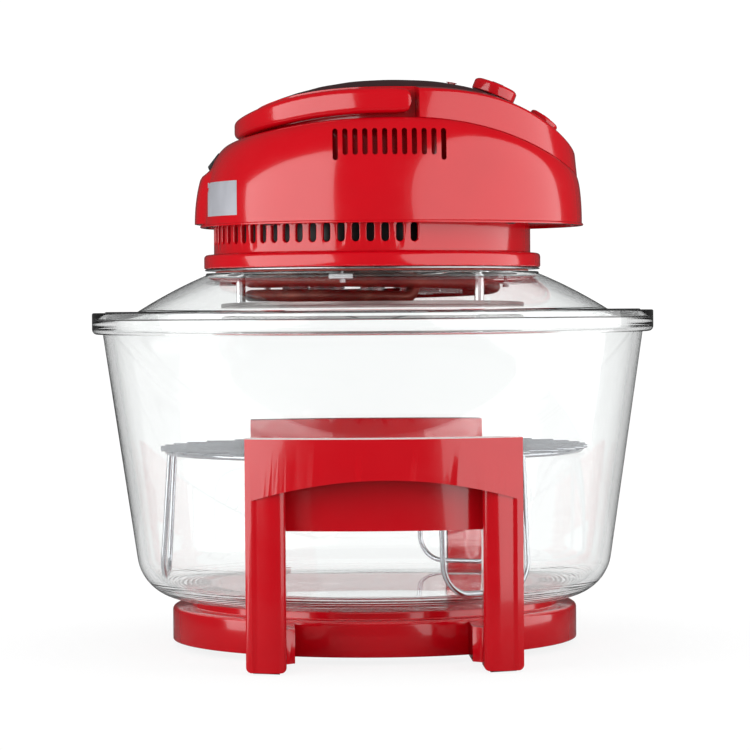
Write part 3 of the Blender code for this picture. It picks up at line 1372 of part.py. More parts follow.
def motor():
    """Build the motor: mount with its ring, stator with a wound limb, bridge, rotor and shaft."""
    plate = FLOOR_TOP + FIT_GAP
    bore = SHAFT_RADIUS + FIT_GAP
    ring_inner = STATOR_BORE + FIT_GAP
    ring_outer = ring_inner + MOUNT_RING_WALL
    section = [
        (bore, plate - MOUNT_BOSS_HEIGHT), (MOUNT_BOSS, plate - MOUNT_BOSS_HEIGHT), (MOUNT_BOSS, plate),
        (MOUNT_RADIUS, plate), (MOUNT_RADIUS, plate + MOUNT_WALL), (ring_outer, plate + MOUNT_WALL),
        (ring_outer, STATOR_BASE - FIT_GAP), (ring_inner, STATOR_BASE - FIT_GAP),
        (ring_inner, plate + MOUNT_WALL), (bore, plate + MOUNT_WALL),
    ]
    make_object("motor_mount", turn(section, WHEEL_STEPS, closed=True), STEEL)
    rear = STATOR_SHIFT - STATOR_LENGTH / 2
    front = STATOR_SHIFT + STATOR_LENGTH / 2
    half = STATOR_WIDTH / 2
    stator = make_object("motor_stator", block((rear, -half, STATOR_BASE), (front, half, STATOR_TOP)), STEEL)
    cut(stator, rod(STATOR_BORE, STATOR_BASE - OVERRUN, STATOR_TOP + OVERRUN, WHEEL_STEPS))
    limb = front - STATOR_LIMB
    window = STATOR_WINDOW_LENGTH / 2
    cut(stator, block((limb - STATOR_WINDOW_WIDTH, -window, STATOR_BASE - OVERRUN),
                      (limb, window, STATOR_TOP + OVERRUN)))
    dress(stator, STEEL)
    reach = WINDING_LENGTH / 2
    coil = rounded_block((limb - WINDING_WALL, -reach, STATOR_BASE - WINDING_WALL),
                         (front + WINDING_WALL, reach, STATOR_TOP + WINDING_WALL), MOUNT_WALL)
    winding = make_object("motor_winding", coil, COPPER)
    cut(winding, block((limb - FIT_GAP, -reach - OVERRUN, STATOR_BASE - FIT_GAP),
                       (front + FIT_GAP, reach + OVERRUN, STATOR_TOP + FIT_GAP)))
    dress(winding, COPPER)
    across = BRIDGE_WIDTH / 2
    bar = block((rear, -across, BRIDGE_BASE),
                (limb - WINDING_WALL - FIT_GAP, across, BRIDGE_BASE + BRIDGE_WALL))
    bridge = make_object("bearing_bridge", bar, STEEL)
    cut(bridge, rod(bore, BRIDGE_BASE - OVERRUN, BRIDGE_BASE + OVERRUN))
    dress(bridge, STEEL)
    flat_ring("motor_rotor", bore, ROTOR_RADIUS, STATOR_BASE + FIT_GAP, STATOR_TOP - FIT_GAP, STEEL,
              WHEEL_STEPS)
    make_object("motor_shaft", rod(SHAFT_RADIUS, SHAFT_BOTTOM, SHAFT_TOP), STEEL)


def fan(name, radius, bottom, height, vanes, disc_on_top, finish):
    """Turn a hub and disc, and stand a row of radial vanes on or under the disc."""
    bore = SHAFT_RADIUS + FIT_GAP
    top = bottom + height
    if disc_on_top:
        inner = top - FAN_DISC_WALL
        section = [(bore, bottom), (FAN_HUB_RADIUS, bottom), (FAN_HUB_RADIUS, inner), (radius, inner),
                   (radius, top), (bore, top)]
        low, high = bottom, top - FAN_DISC_WALL / 2
    else:
        inner = bottom + FAN_DISC_WALL
        section = [(bore, bottom), (radius, bottom), (radius, inner), (FAN_HUB_RADIUS, inner),
                   (FAN_HUB_RADIUS, top), (bore, top)]
        low, high = bottom + FAN_DISC_WALL / 2, top
    wheel = make_object(name, turn(section, WHEEL_STEPS, closed=True), finish)
    blades = bmesh.new()
    half = FAN_VANE_WALL / 2
    for number in range(vanes):
        blade = block((radius * VANE_INNER_SHARE, -half, low), (radius - FAN_VANE_WALL, half, high))
        merge(blades, spin_to(blade, math.tau * number / vanes))
    join(wheel, blades)
    dress(wheel, finish)


def coil_path():
    """Return the heater's centre line: down one end, round the coil, and up the other end."""
    points = []
    count = round(COIL_POINTS_PER_TURN * COIL_TURNS)
    inward = 2 * COIL_TUBE + RUNNING_GAP
    for step in range(count + 1):
        turned = math.tau * COIL_TURNS * step / count
        left = min(1.0, (math.tau * COIL_TURNS - turned) / COIL_INWARD_ANGLE)
        radius = COIL_RADIUS - inward * (1 - left * left * (3 - 2 * left))
        height = COIL_TOP - COIL_PITCH * turned / math.tau
        points.append(polar(radius, COIL_START + turned, height))
    first = polar(1, COIL_START - math.pi / 2)
    last = polar(1, COIL_START + math.tau * COIL_TURNS + math.pi / 2)
    return list(reversed(riser(points[0], first))) + points + riser(points[-1], last)


def riser(point, along):
    """Return the points of a bend from a level direction up to the top of a heater end."""
    bend = []
    for step in range(1, COIL_BEND_STEPS + 1):
        turned = math.pi / 2 * step / COIL_BEND_STEPS
        rise = Vector((0, 0, COIL_BEND * (1 - math.cos(turned))))
        bend.append(point + along * COIL_BEND * math.sin(turned) + rise)
    bend.append(Vector((bend[-1].x, bend[-1].y, COIL_END_TOP)))
    return bend


def heater_coil():
    """Make the tubular heater as one unbroken tube, and print its least gap to itself."""
    points = coil_path()
    data = bpy.data.curves.new("heater_coil", "CURVE")
    data.dimensions = "3D"
    data.bevel_depth = COIL_TUBE
    data.bevel_resolution = 1
    data.use_fill_caps = True
    spline = data.splines.new("POLY")
    spline.points.add(len(points) - 1)
    for target, point in zip(spline.points, points):
        target.co = (*point, 1.0)
    data.materials.append(material("heater_coil_finish", DARK_SHEATH))
    bpy.context.scene.collection.objects.link(bpy.data.objects.new("heater_coil", data))
    apart = COIL_POINTS_PER_TURN // 2
    least = min((first - second).length for index, first in enumerate(points)
                for second in points[index + apart:])
    print("heater coil: least gap to itself", round(least - 2 * COIL_TUBE, 5), "m")


def guard():
    """Turn the guard plate with its rolled rim, and cut its row of radial slots."""
    bottom = GUARD_TOP - GUARD_WALL
    section = [
        (GUARD_BORE, bottom), (GUARD_RADIUS, bottom), (GUARD_RADIUS, GUARD_TOP + GUARD_RIM_RISE),
        (GUARD_RADIUS - GUARD_WALL, GUARD_TOP + GUARD_RIM_RISE),
        (GUARD_RADIUS - GUARD_WALL, GUARD_TOP), (GUARD_BORE, GUARD_TOP),
    ]
    plate = make_object("guard_plate", turn(section, RING_STEPS, closed=True), STEEL)
    slots = post_bores(bottom - OVERRUN, GUARD_TOP + OVERRUN)
    half = GUARD_SLOT_WIDTH / 2
    for number in range(GUARD_SLOT_COUNT):
        slot = block((GUARD_SLOT_INNER, -half, bottom - OVERRUN), (GUARD_SLOT_OUTER, half, GUARD_TOP + OVERRUN))
        merge(slots, spin_to(slot, math.tau * (number + 0.5) / GUARD_SLOT_COUNT))
    cut(plate, slots)
    dress(plate, STEEL)
    top = SHIELD_BASE - FIT_GAP
    stud_top = FLANGE_BASE + POST_STUD_LENGTH
    bite = GUARD_POST_BASE + POST_STUD_LENGTH
    for number, angle in enumerate(POST_ANGLES, 1):
        bore = POST_STUD_RADIUS + FIT_GAP
        post_section = [(0, bite + FIT_GAP), (bore, bite + FIT_GAP), (bore, GUARD_POST_BASE),
                        (POST_RADIUS, GUARD_POST_BASE), (POST_RADIUS, top),
                        (POST_STUD_RADIUS, top), (POST_STUD_RADIUS, stud_top), (0, stud_top)]
        post = make_object(f"guard_post_{number}", turn(post_section, SMALL_STEPS), STEEL)
        post.location = polar(POST_RING, angle)
        seat = polar(POST_RING, angle, bottom - FIT_GAP)
        screw(f"guard_screw_{number}", seat, (0, 0, 1), bite - seat.z, POST_STUD_RADIUS,
              SCREW_HEAD_RADIUS)


def power_inlet():
    """Make the mains inlet that fills the opening above the ramp, with its socket recess."""
    body = make_object("power_inlet", inlet_block(FIT_GAP, INLET_DEPTH - FIT_GAP, INLET_PROUD),
                       BLACK_PLASTIC)
    socket = inlet_block(INLET_SOCKET_MARGIN, INLET_SOCKET_DEPTH, OVERRUN)
    cut(body, socket)
    dress(body, BLACK_PLASTIC)


def safety_switch():
    """Make the switch body under the pocket's ledge, and the plunger that the handle presses."""
    x, y = plunger_place()
    top = collar_low(x - MICROSWITCH_LENGTH / 2) - SHELL_WALL - FIT_GAP
    bottom = top - MICROSWITCH_HEIGHT
    half_length, half_width = MICROSWITCH_LENGTH / 2, MICROSWITCH_WIDTH / 2
    case = block((-half_length, -half_width, bottom), (half_length, half_width, top))
    tangent = math.atan2((COLLAR_CENTRE - x) * COLLAR_HALF_WIDTH ** 2, y * COLLAR_REAR ** 2)
    body = make_object("safety_switch", shift(spin_to(case, tangent), (x, y, 0)), BLACK_PLASTIC)
    crest = collar_low(x) + CARRY_LIFT - FIT_GAP
    foot = crest - PLUNGER_FOOT
    cut(body, shift(rod(PLUNGER_RADIUS + FIT_GAP, foot - FIT_GAP, top + OVERRUN), (x, y, 0)))
    dress(body, BLACK_PLASTIC)
    plunger = make_object("switch_plunger", rod(PLUNGER_RADIUS, foot - crest, 0), BLACK_PLASTIC)
    plunger.location = (x, y, crest)


def build():
    """Clear the scene and model every piece."""
    for old in list(bpy.data.objects):
        bpy.data.objects.remove(old, do_unlink=True)
    stand_ring()
    stand_handle()
    stand_feet()
    stand_screws()
    glass_bowl()
    wire_rack()
    glass_lid()
    lid_clamp()
    heat_shield()
    lower_housing()
    head_shell()
    head_screws()
    top_panel()
    carry_handle()
    carry_pins()
    timer_place, dial_place = knob_places()
    control("timer", timer_place, TIMER_RADIUS, TIMER_HEIGHT)
    control("temperature", dial_place, DIAL_RADIUS, DIAL_HEIGHT)
    lamps()
    motor()
    fan("cooling_fan", COOLING_FAN_RADIUS, COOLING_FAN_BASE, COOLING_FAN_HEIGHT, COOLING_FAN_VANES,
        False, BLACK_PLASTIC)
    fan("oven_fan", OVEN_FAN_RADIUS, OVEN_FAN_TOP - OVEN_FAN_HEIGHT, OVEN_FAN_HEIGHT, OVEN_FAN_VANES,
        True, STEEL)
    heater_coil()
    guard()
    power_inlet()
    safety_switch()


build()
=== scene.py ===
"""Looks of a tabletop glass-bowl oven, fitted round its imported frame.

Each sub-assembly is a class whose fields are its sizes in metres. Its methods model the pieces with
Blender's own tools, dress them in a procedural finish and set them on the bodies that carry them.
"""

import json
import logging
import math
from contextlib import contextmanager
from dataclasses import dataclass
from enum import Enum
from typing import Iterator, Optional, Sequence, Union

import bmesh
import bpy
from mathutils import Matrix, Vector

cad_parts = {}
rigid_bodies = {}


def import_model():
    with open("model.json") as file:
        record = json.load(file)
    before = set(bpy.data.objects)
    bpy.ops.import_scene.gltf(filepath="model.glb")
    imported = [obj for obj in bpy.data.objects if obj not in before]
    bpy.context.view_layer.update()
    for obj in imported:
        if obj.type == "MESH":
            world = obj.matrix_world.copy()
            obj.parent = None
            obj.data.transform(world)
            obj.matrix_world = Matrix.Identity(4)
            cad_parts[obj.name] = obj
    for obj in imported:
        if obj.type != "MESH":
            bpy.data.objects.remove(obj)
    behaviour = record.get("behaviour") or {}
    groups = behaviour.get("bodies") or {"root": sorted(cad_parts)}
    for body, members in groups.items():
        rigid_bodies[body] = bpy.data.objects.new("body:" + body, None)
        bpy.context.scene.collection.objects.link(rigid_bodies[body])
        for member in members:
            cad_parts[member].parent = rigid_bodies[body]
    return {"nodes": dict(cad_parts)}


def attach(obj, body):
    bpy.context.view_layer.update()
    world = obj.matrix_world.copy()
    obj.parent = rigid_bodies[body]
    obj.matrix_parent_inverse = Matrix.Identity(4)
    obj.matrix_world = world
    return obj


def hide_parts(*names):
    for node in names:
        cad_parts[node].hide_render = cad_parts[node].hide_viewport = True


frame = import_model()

LOG = logging.getLogger("oven")
Point = tuple[float, float]
Place = tuple[float, float, float]
Colour = tuple[float, float, float]
Number = Union[float, "Wire"]

QUARTER = math.pi / 2
MERGE = 0.00001
FINE_MERGE = 0.000001
FILLET_SIDE_SHARE = 0.48
FINE_EDGE = 0.0002
SOFT_EDGE = 0.0003
KEPT_CREASE = 35.0


class Joining(Enum):
    """How a tool is joined with a piece."""

    CUT = "DIFFERENCE"
    UNITE = "UNION"


class LampShape(Enum):
    """The outline of a softbox."""

    OVAL = "ELLIPSE"
    OBLONG = "RECTANGLE"


class Body(Enum):
    """The bodies that new pieces ride on, by their names in the frame."""

    STAND = "stand"
    BOWL = "bowl"
    RACK = "rack"
    LID = "lid"
    HANDLE = "carry_handle"
    TIMER = "timer"
    DIAL = "dial"


# Shader graphs


class Wire:
    """A shader socket that takes part in Python sums."""

    def __init__(self, graph: "Graph", socket: bpy.types.NodeSocket) -> None:
        """Keep the socket and the graph that it belongs to."""
        self.graph = graph
        self.socket = socket

    def __add__(self, other: Number) -> "Wire":
        """Add a number or another wire."""
        return self.graph.maths("ADD", self, other)

    def __sub__(self, other: Number) -> "Wire":
        """Take away a number or another wire."""
        return self.graph.maths("SUBTRACT", self, other)

    def __rsub__(self, other: Number) -> "Wire":
        """Take this wire away from a number."""
        return self.graph.maths("SUBTRACT", other, self)

    def __mul__(self, other: Number) -> "Wire":
        """Multiply by a number or another wire."""
        return self.graph.maths("MULTIPLY", self, other)

    def __pow__(self, other: Number) -> "Wire":
        """Raise to a power."""
        return self.graph.maths("POWER", self, other)

    __radd__ = __add__
    __rmul__ = __mul__


class Graph:
    """One material's or world's nodes."""

    def __init__(self, tree: bpy.types.NodeTree) -> None:
        """Start from an empty tree."""
        tree.nodes.clear()
        self.tree = tree

    def node(self, kind: str, inputs: Optional[dict] = None,
             settings: Optional[dict] = None) -> bpy.types.Node:
        """Make a node.

        Args:
            kind: The node's type name.
            inputs: Values or links of its sockets, by name or number.
            settings: Properties set first. A "stops" entry fills a colour ramp.

        Returns:
            The node.
        """
        made = self.tree.nodes.new(kind)
        for name, value in (settings or {}).items():
            if name == "stops":
                ramp = made.color_ramp
                while len(ramp.elements) < len(value):
                    ramp.elements.new(1.0)
                for element, (place, colour) in zip(ramp.elements, value):
                    element.position = place
                    element.color = (*colour, 1.0)
            else:
                setattr(made, name, value)
        for name, value in (inputs or {}).items():
            socket = made.inputs[name]
            if isinstance(value, Wire):
                self.tree.links.new(value.socket, socket)
            else:
                socket.default_value = value
        return made

    def out(self, made: bpy.types.Node, name: Union[str, int] = 0) -> Wire:
        """Return one output of a node."""
        return Wire(self, made.outputs[name])

    def wire(self, kind: str, inputs: Optional[dict] = None, settings: Optional[dict] = None,
             name: Union[str, int] = 0) -> Wire:
        """Make a node and return one of its outputs."""
        return self.out(self.node(kind, inputs, settings), name)

    def maths(self, operation: str, first: Number, second: Number = 0.0) -> Wire:
        """Return an operation on two numbers or wires, with nothing clamped."""
        return self.wire("ShaderNodeMath", {0: first, 1: second}, {"operation": operation})

    def mix(self, share: Wire, first: Wire, second: Wire) -> Wire:
        """Return the second shader by a share, and the first by the rest."""
        return self.wire("ShaderNodeMixShader", {0: share, 1: first, 2: second})

    def place(self, stretch: Place = (1, 1, 1)) -> Wire:
        """Return the piece's own coordinates, stretched."""
        own = self.wire("ShaderNodeTexCoord", name="Object")
        return self.wire("ShaderNodeMapping", {"Vector": own, "Scale": stretch})

    def noise(self, scale: float, detail: float = 2.0, stretch: Place = (1, 1, 1)) -> Wire:
        """Return a noise between 0 and 1 at so many grains per metre."""
        return self.wire("ShaderNodeTexNoise",
                         {"Vector": self.place(stretch), "Scale": scale, "Detail": detail})

    def ramp(self, value: Wire, *stops: tuple[float, Colour]) -> Wire:
        """Return a colour ramp read at a value."""
        return self.wire("ShaderNodeValToRGB", {0: value}, {"stops": stops})

    def bump(self, height: Wire, depth: float, under: Optional[Wire] = None) -> Wire:
        """Return a normal raised by a height.

        Args:
            height: The height between 0 and 1.
            depth: What a height of 1 stands for in metres.
            under: A normal that lies below this one.

        Returns:
            The raised normal.
        """
        inputs: dict = {"Height": height, "Distance": depth, "Strength": 1.0}
        if under is not None:
            inputs["Normal"] = under
        return self.wire("ShaderNodeBump", inputs)


# Finishes


@dataclass(frozen=True)
class Finish:
    """A moulded, painted or metal surface with slight changes of colour, gloss and relief.

    Mottle and wear are shares of the colour and of the roughness. Grains are counted per metre.
    """

    name: str
    slot: str
    colour: Colour
    roughness: float
    metallic: float = 0.0
    coat: float = 0.0
    coat_roughness: float = 0.04
    mottle: float = 0.06
    mottle_grain: float = 30.0
    mottle_detail: float = 3.0
    mottle_ends: Point = (0.3, 0.7)
    wear: float = 0.35
    wear_grain: float = 90.0
    wear_detail: float = 4.0
    relief: float = 0.000004
    relief_grain: float = 900.0
    stretch: Place = (1, 1, 1)

    def material(self) -> bpy.types.Material:
        """Return the finish as a material, made once.

        Returns:
            The material, which has the finish's name.
        """
        known = bpy.data.materials.get(self.name)
        if known is not None:
            return known
        made = bpy.data.materials.new(self.name)
        made.use_nodes = True
        graph = Graph(made.node_tree)
        graph.node("ShaderNodeOutputMaterial", {"Surface": self.shade(graph)})
        made.diffuse_color = (*self.colour, 1.0)
        return made

    def shade(self, graph: Graph) -> Wire:
        """Return the surface's shader.

        Args:
            graph: The material's nodes.

        Returns:
            The shader's output.
        """
        return graph.wire("ShaderNodeBsdfPrincipled", {
            "Metallic": self.metallic, "Coat Weight": self.coat,
            "Coat Roughness": self.coat_roughness, "Base Color": self.tint(graph),
            "Roughness": self.gloss(graph), "Normal": self.surface(graph)})

    def tint(self, graph: Graph) -> Wire:
        """Return the mottled base colour.

        Args:
            graph: The material's nodes.

        Returns:
            The colour.
        """
        start, end = self.mottle_ends
        low = tuple(c * (1 - self.mottle) for c in self.colour)
        high = tuple(min(1.0, c * (1 + self.mottle)) for c in self.colour)
        spots = graph.noise(self.mottle_grain, self.mottle_detail)
        return graph.ramp(spots, (start, low), (end, high))

    def gloss(self, graph: Graph) -> Wire:
        """Return the roughness, which wear varies."""
        scuffs = graph.noise(self.wear_grain, self.wear_detail, self.stretch)
        return (scuffs - 0.5) * (2 * self.wear * self.roughness) + self.roughness

    def surface(self, graph: Graph) -> Wire:
        """Return the normal with its relief."""
        return graph.bump(graph.noise(self.relief_grain, stretch=self.stretch), self.relief)


@dataclass(frozen=True)
class Glass(Finish):
    """Clear pressed glass with faint waves, darkened by painted shade where the eye looks along it.
    """

    # Painted shade: the darker colour that the glass takes at grazing view, and the facing at which
    # it starts.
    edge: Colour = (0.62, 0.68, 0.70)
    painted_shade_start: float = 0.55
    facing_blend: float = 0.25
    refraction: float = 1.47
    cast: Colour = (0.93, 0.95, 0.95)

    def shade(self, graph: Graph) -> Wire:
        """Return a glass shader that lets the lamps through.

        Args:
            graph: The material's nodes.

        Returns:
            The shader's output.
        """
        # Painted shade: the colour darkens towards the edge colour where the eye looks along the
        # glass, standing in for its dark edge reflections.
        facing = graph.wire("ShaderNodeLayerWeight", {"Blend": self.facing_blend}, name="Facing")
        tint = graph.ramp(facing, (0.0, self.colour), (self.painted_shade_start, self.colour),
                          (1.0, self.edge))
        glass = graph.wire("ShaderNodeBsdfPrincipled", {
            "Transmission Weight": 1.0, "IOR": self.refraction, "Base Color": tint,
            "Roughness": self.gloss(graph), "Normal": self.surface(graph)})
        clear = graph.wire("ShaderNodeBsdfTransparent", {"Color": (*self.cast, 1.0)})
        shadow = graph.wire("ShaderNodeLightPath", name="Is Shadow Ray")
        return graph.mix(shadow, glass, clear)


@dataclass(frozen=True)
class Sheath(Finish):
    """The heater's metal sheath, browned by heat, with paler scale."""

    scale_colour: Colour = (0.125, 0.036, 0.023)
    pale_colour: Colour = (0.20, 0.10, 0.08)
    patch_grain: float = 55.0
    patch_detail: float = 5.0
    patch_stops: Place = (0.35, 0.60, 0.75)

    def tint(self, graph: Graph) -> Wire:
        """Return brown that turns redder and paler in patches."""
        colours = (self.colour, self.scale_colour, self.pale_colour)
        return graph.ramp(graph.noise(self.patch_grain, self.patch_detail),
                          *zip(self.patch_stops, colours))


@dataclass(frozen=True)
class Wound(Finish):
    """Fine enamelled wire, wound in level turns."""

    wave_scale: float = 130.0
    waver: float = 0.4
    turn_depth: float = 0.00012

    def surface(self, graph: Graph) -> Wire:
        """Return the relief of the turns."""
        wave = graph.wire("ShaderNodeTexWave", {
            "Vector": graph.place(), "Scale": self.wave_scale, "Distortion": self.waver},
            {"bands_direction": "Y"}, "Fac")
        return graph.bump(wave, self.turn_depth)


@dataclass(frozen=True)
class Ribbed(Glass):
    """The bowl's glass, with concentric ribs pressed into its base and corner."""

    rib_pitch: float = 0.0030
    rib_depth: float = 0.00012
    rib_inner: float = 0.100
    rib_top: float = 0.039

    def surface(self, graph: Graph) -> Wire:
        """Return the waves of the glass and, low down, the ribs.

        Args:
            graph: The material's nodes.

        Returns:
            The normal.
        """
        apart = graph.node("ShaderNodeSeparateXYZ", {0: graph.place()})
        x, y, z = (graph.out(apart, index) for index in range(3))
        radius = (x * x + y * y) ** 0.5
        turn = graph.maths("SINE", (radius + z) * (math.tau / self.rib_pitch))
        low = graph.maths("LESS_THAN", z, self.rib_top)
        outside = graph.maths("GREATER_THAN", radius, self.rib_inner)
        return graph.bump(turn * low * outside, self.rib_depth / 2, super().surface(graph))


RED = Finish("glossy_red_plastic", "red_plastic", (0.620, 0.0010, 0.0080), 0.16, coat=0.7,
             mottle=0.03, relief=0.000003, relief_grain=420.0)
MAROON = Finish("dark_maroon_panel", "dark_panel", (0.075, 0.0028, 0.0070), 0.30,
                mottle=0.10, relief=0.0000015)
BLACK = Finish("satin_black_plastic", "black_plastic", (0.018, 0.018, 0.020), 0.42, mottle=0.12,
               relief=0.00002, relief_grain=2400.0)
RUBBER = Finish("black_rubber", "foot_rubber", (0.022, 0.022, 0.022), 0.80, mottle=0.15,
                relief=0.00003, relief_grain=1500.0)
CLEAR = Glass("clear_lid_glass", "glass", (0.990, 1.0, 0.998), 0.012, wear=0.5, wear_grain=14.0,
              relief=0.00002, relief_grain=16.0)
BOWL_GLASS = Ribbed("clear_bowl_glass", "glass", (0.990, 1.0, 0.998), 0.012, wear=0.5,
                    wear_grain=14.0, relief=0.00002, relief_grain=14.0)
CHROME = Finish("bright_chrome_wire", "chrome_wire", (0.40, 0.41, 0.43), 0.12, metallic=1.0,
                mottle=0.04, wear_grain=260.0)
STEEL = Finish("brushed_steel", "steel", (0.53, 0.53, 0.54), 0.27, metallic=1.0, mottle=0.05,
               wear=0.5, wear_grain=60.0, relief=0.000006, relief_grain=300.0, stretch=(1, 1, 14))
BRIGHT = Finish("polished_steel", "steel", (0.62, 0.62, 0.63), 0.14, metallic=1.0, mottle=0.05,
                wear=0.6, wear_grain=120.0, relief=0.000004)
DULLED = Finish("heat_dulled_steel", "steel", (0.20, 0.185, 0.18), 0.34, metallic=1.0, mottle=0.12,
                wear=0.4, wear_grain=50.0, relief=0.000006, relief_grain=300.0)
LAMINATED = Finish("laminated_iron", "steel", (0.30, 0.30, 0.32), 0.45, metallic=1.0, mottle=0.15,
                   relief=0.00006, relief_grain=60.0, stretch=(0.2, 0.2, 30))
BROWNED = Sheath("heat_browned_sheath", "heater_sheath", (0.036, 0.013, 0.010), 0.42, metallic=0.55,
                 relief=0.00003, relief_grain=700.0)
SILICONE = Finish("dull_red_silicone", "silicone", (0.40, 0.06, 0.045), 0.62, mottle=0.10,
                  relief=0.00001)
COPPER = Wound("wound_copper", "copper", (0.58, 0.20, 0.08), 0.32, metallic=1.0)
LENS_RED = Finish("red_lens", "lamp_red", (0.45, 0.012, 0.008), 0.10, coat=0.5, mottle=0.2,
                  mottle_grain=800.0)
LENS_GREEN = Finish("green_lens", "lamp_green", (0.02, 0.30, 0.04), 0.10, coat=0.5, mottle=0.2,
                    mottle_grain=800.0)
FOIL = Finish("bare_silver_foil", "steel", (0.56, 0.57, 0.62), 0.42, metallic=0.35, mottle=0.05,
              mottle_grain=60.0, relief=0.000006, relief_grain=600.0)



# Modelling tools


@contextmanager
def editing(piece: bpy.types.Object) -> Iterator[None]:
    """Work on one piece in edit mode, with all of it selected.

    Args:
        piece: The piece.

    Yields:
        Nothing, while edit mode lasts.
    """
    pick(piece)
    bpy.ops.object.mode_set(mode="EDIT")
    bpy.ops.mesh.select_all(action="SELECT")
    yield
    bpy.ops.object.mode_set(mode="OBJECT")


def pick(*pieces: bpy.types.Object) -> None:
    """Select these pieces alone, the first as the active one.

    Args:
        pieces: The pieces.
    """
    bpy.ops.object.select_all(action="DESELECT")
    for piece in pieces:
        piece.select_set(True)
    bpy.context.view_layer.objects.active = pieces[0]


def pick_first() -> None:
    """Select the scene's first object, so that the next operator has a context."""
    pick(bpy.context.scene.objects[0])


def named(name: str) -> bpy.types.Object:
    """Name the primitive that was just added.

    Args:
        name: The name of the object and its mesh.

    Returns:
        The primitive.
    """
    piece = bpy.context.active_object
    piece.name = name
    piece.data.name = name
    return piece


def settle(piece: bpy.types.Object) -> None:
    """Bring a piece's place, turn and size into its mesh."""
    pick(piece)
    bpy.ops.object.transform_apply(location=True, rotation=True, scale=True)


def close(piece: bpy.types.Object, apart: float = MERGE) -> bpy.types.Object:
    """Merge what coincides and turn all faces outwards.

    Args:
        piece: The piece.
        apart: How near two corners lie that become one.

    Returns:
        The piece.
    """
    with editing(piece):
        bpy.ops.mesh.remove_doubles(threshold=apart)
        bpy.ops.mesh.normals_make_consistent(inside=False)
    return piece


def apply(piece: bpy.types.Object, kind: str, **settings: object) -> None:
    """Add a modifier and apply it.

    Args:
        piece: The piece.
        kind: The modifier's type.
        settings: The modifier's settings.
    """
    pick(piece)
    step = piece.modifiers.new(kind.lower(), kind)
    for name, value in settings.items():
        setattr(step, name, value)
    bpy.ops.object.modifier_apply(modifier=step.name)


def combine(piece: bpy.types.Object, tool: bpy.types.Object, how: Joining = Joining.CUT) -> None:
    """Cut a tool from a piece, or join it on, and remove the tool."""
    apply(piece, "BOOLEAN", object=tool, operation=how.value, solver="EXACT")
    bpy.data.objects.remove(tool)


def bevel(piece: bpy.types.Object, width: float, segments: int = 3, angle: float = 60.0) -> None:
    """Round the edges that are sharper than an angle in degrees."""
    apply(piece, "BEVEL", width=width, segments=segments, limit_method="ANGLE",
          angle_limit=math.radians(angle), harden_normals=False, use_clamp_overlap=True)


def smooth(piece: bpy.types.Object, angle: float) -> None:
    """Shade a piece smooth, but for the edges that are sharper than an angle in degrees."""
    pick(piece)
    bpy.ops.object.shade_smooth_by_angle(angle=math.radians(angle))


def duplicate(piece: bpy.types.Object, name: str) -> bpy.types.Object:
    """Copy a piece with a mesh of its own.

    Args:
        piece: The piece.
        name: The copy's name.

    Returns:
        The copy.
    """
    pick(piece)
    bpy.ops.object.duplicate(linked=False)
    return named(name)


def joined(name: str, pieces: Sequence[bpy.types.Object]) -> bpy.types.Object:
    """Join pieces into one object, as separate solids.

    Args:
        name: The object's name.
        pieces: The pieces.

    Returns:
        The object.
    """
    pick(*pieces)
    bpy.ops.object.join()
    return named(name)


def quarter(steps: int) -> list[float]:
    """Return the angles from zero to a quarter turn in so many steps."""
    return [QUARTER * step / steps for step in range(steps + 1)]


def polar(radius: float, angle: float, height: float = 0.0) -> Vector:
    """Return the point at a radius, an angle about Z and a height."""
    return Vector((radius * math.cos(angle), radius * math.sin(angle), height))


def rounded(corners: Sequence[Place], closed: bool = True, steps: int = 4) -> list[Point]:
    """Round the corners of an outline.

    Args:
        corners: Each corner as (across, height, fillet radius).
        closed: Whether the last corner leads back to the first.
        steps: The parts of each fillet's arc.

    Returns:
        The outline's points.
    """
    points: list[Point] = []
    count = len(corners)
    for index, (x, y, radius) in enumerate(corners):
        here = Vector((x, y))
        if radius <= 0 or (not closed and index in (0, count - 1)):
            points.append((x, y))
            continue
        before = Vector(corners[index - 1][:2]) - here
        after = Vector(corners[(index + 1) % count][:2]) - here
        half = before.angle(after) / 2
        reach = min(radius / math.tan(half), FILLET_SIDE_SHARE * before.length,
                    FILLET_SIDE_SHARE * after.length)
        if reach < FINE_MERGE:
            points.append((x, y))
            continue
        away = (before.normalized() + after.normalized()).normalized()
        centre = here + away * math.hypot(reach, reach * math.tan(half))
        start = here + before.normalized() * reach - centre
        end = here + after.normalized() * reach - centre
        sweep = start.angle_signed(end)
        for step in range(steps + 1):
            turn = -sweep * step / steps
            points.append((centre.x + start.x * math.cos(turn) - start.y * math.sin(turn),
                           centre.y + start.x * math.sin(turn) + start.y * math.cos(turn)))
    return points


def capsule(width: float, low: float, high: float, steps: int = 10) -> list[Point]:
    """Return the outline of an upright slot with round ends.

    Args:
        width: The slot's width.
        low: The height of its lower end.
        high: The height of its upper end.
        steps: The parts of each end's arc.

    Returns:
        Points as (across, height).
    """
    radius = width / 2
    points = []
    for centre, start in ((high - radius, 0.0), (low + radius, math.pi)):
        for step in range(steps + 1):
            turn = start + math.pi * step / steps
            points.append((radius * math.cos(turn), centre + radius * math.sin(turn)))
    return points


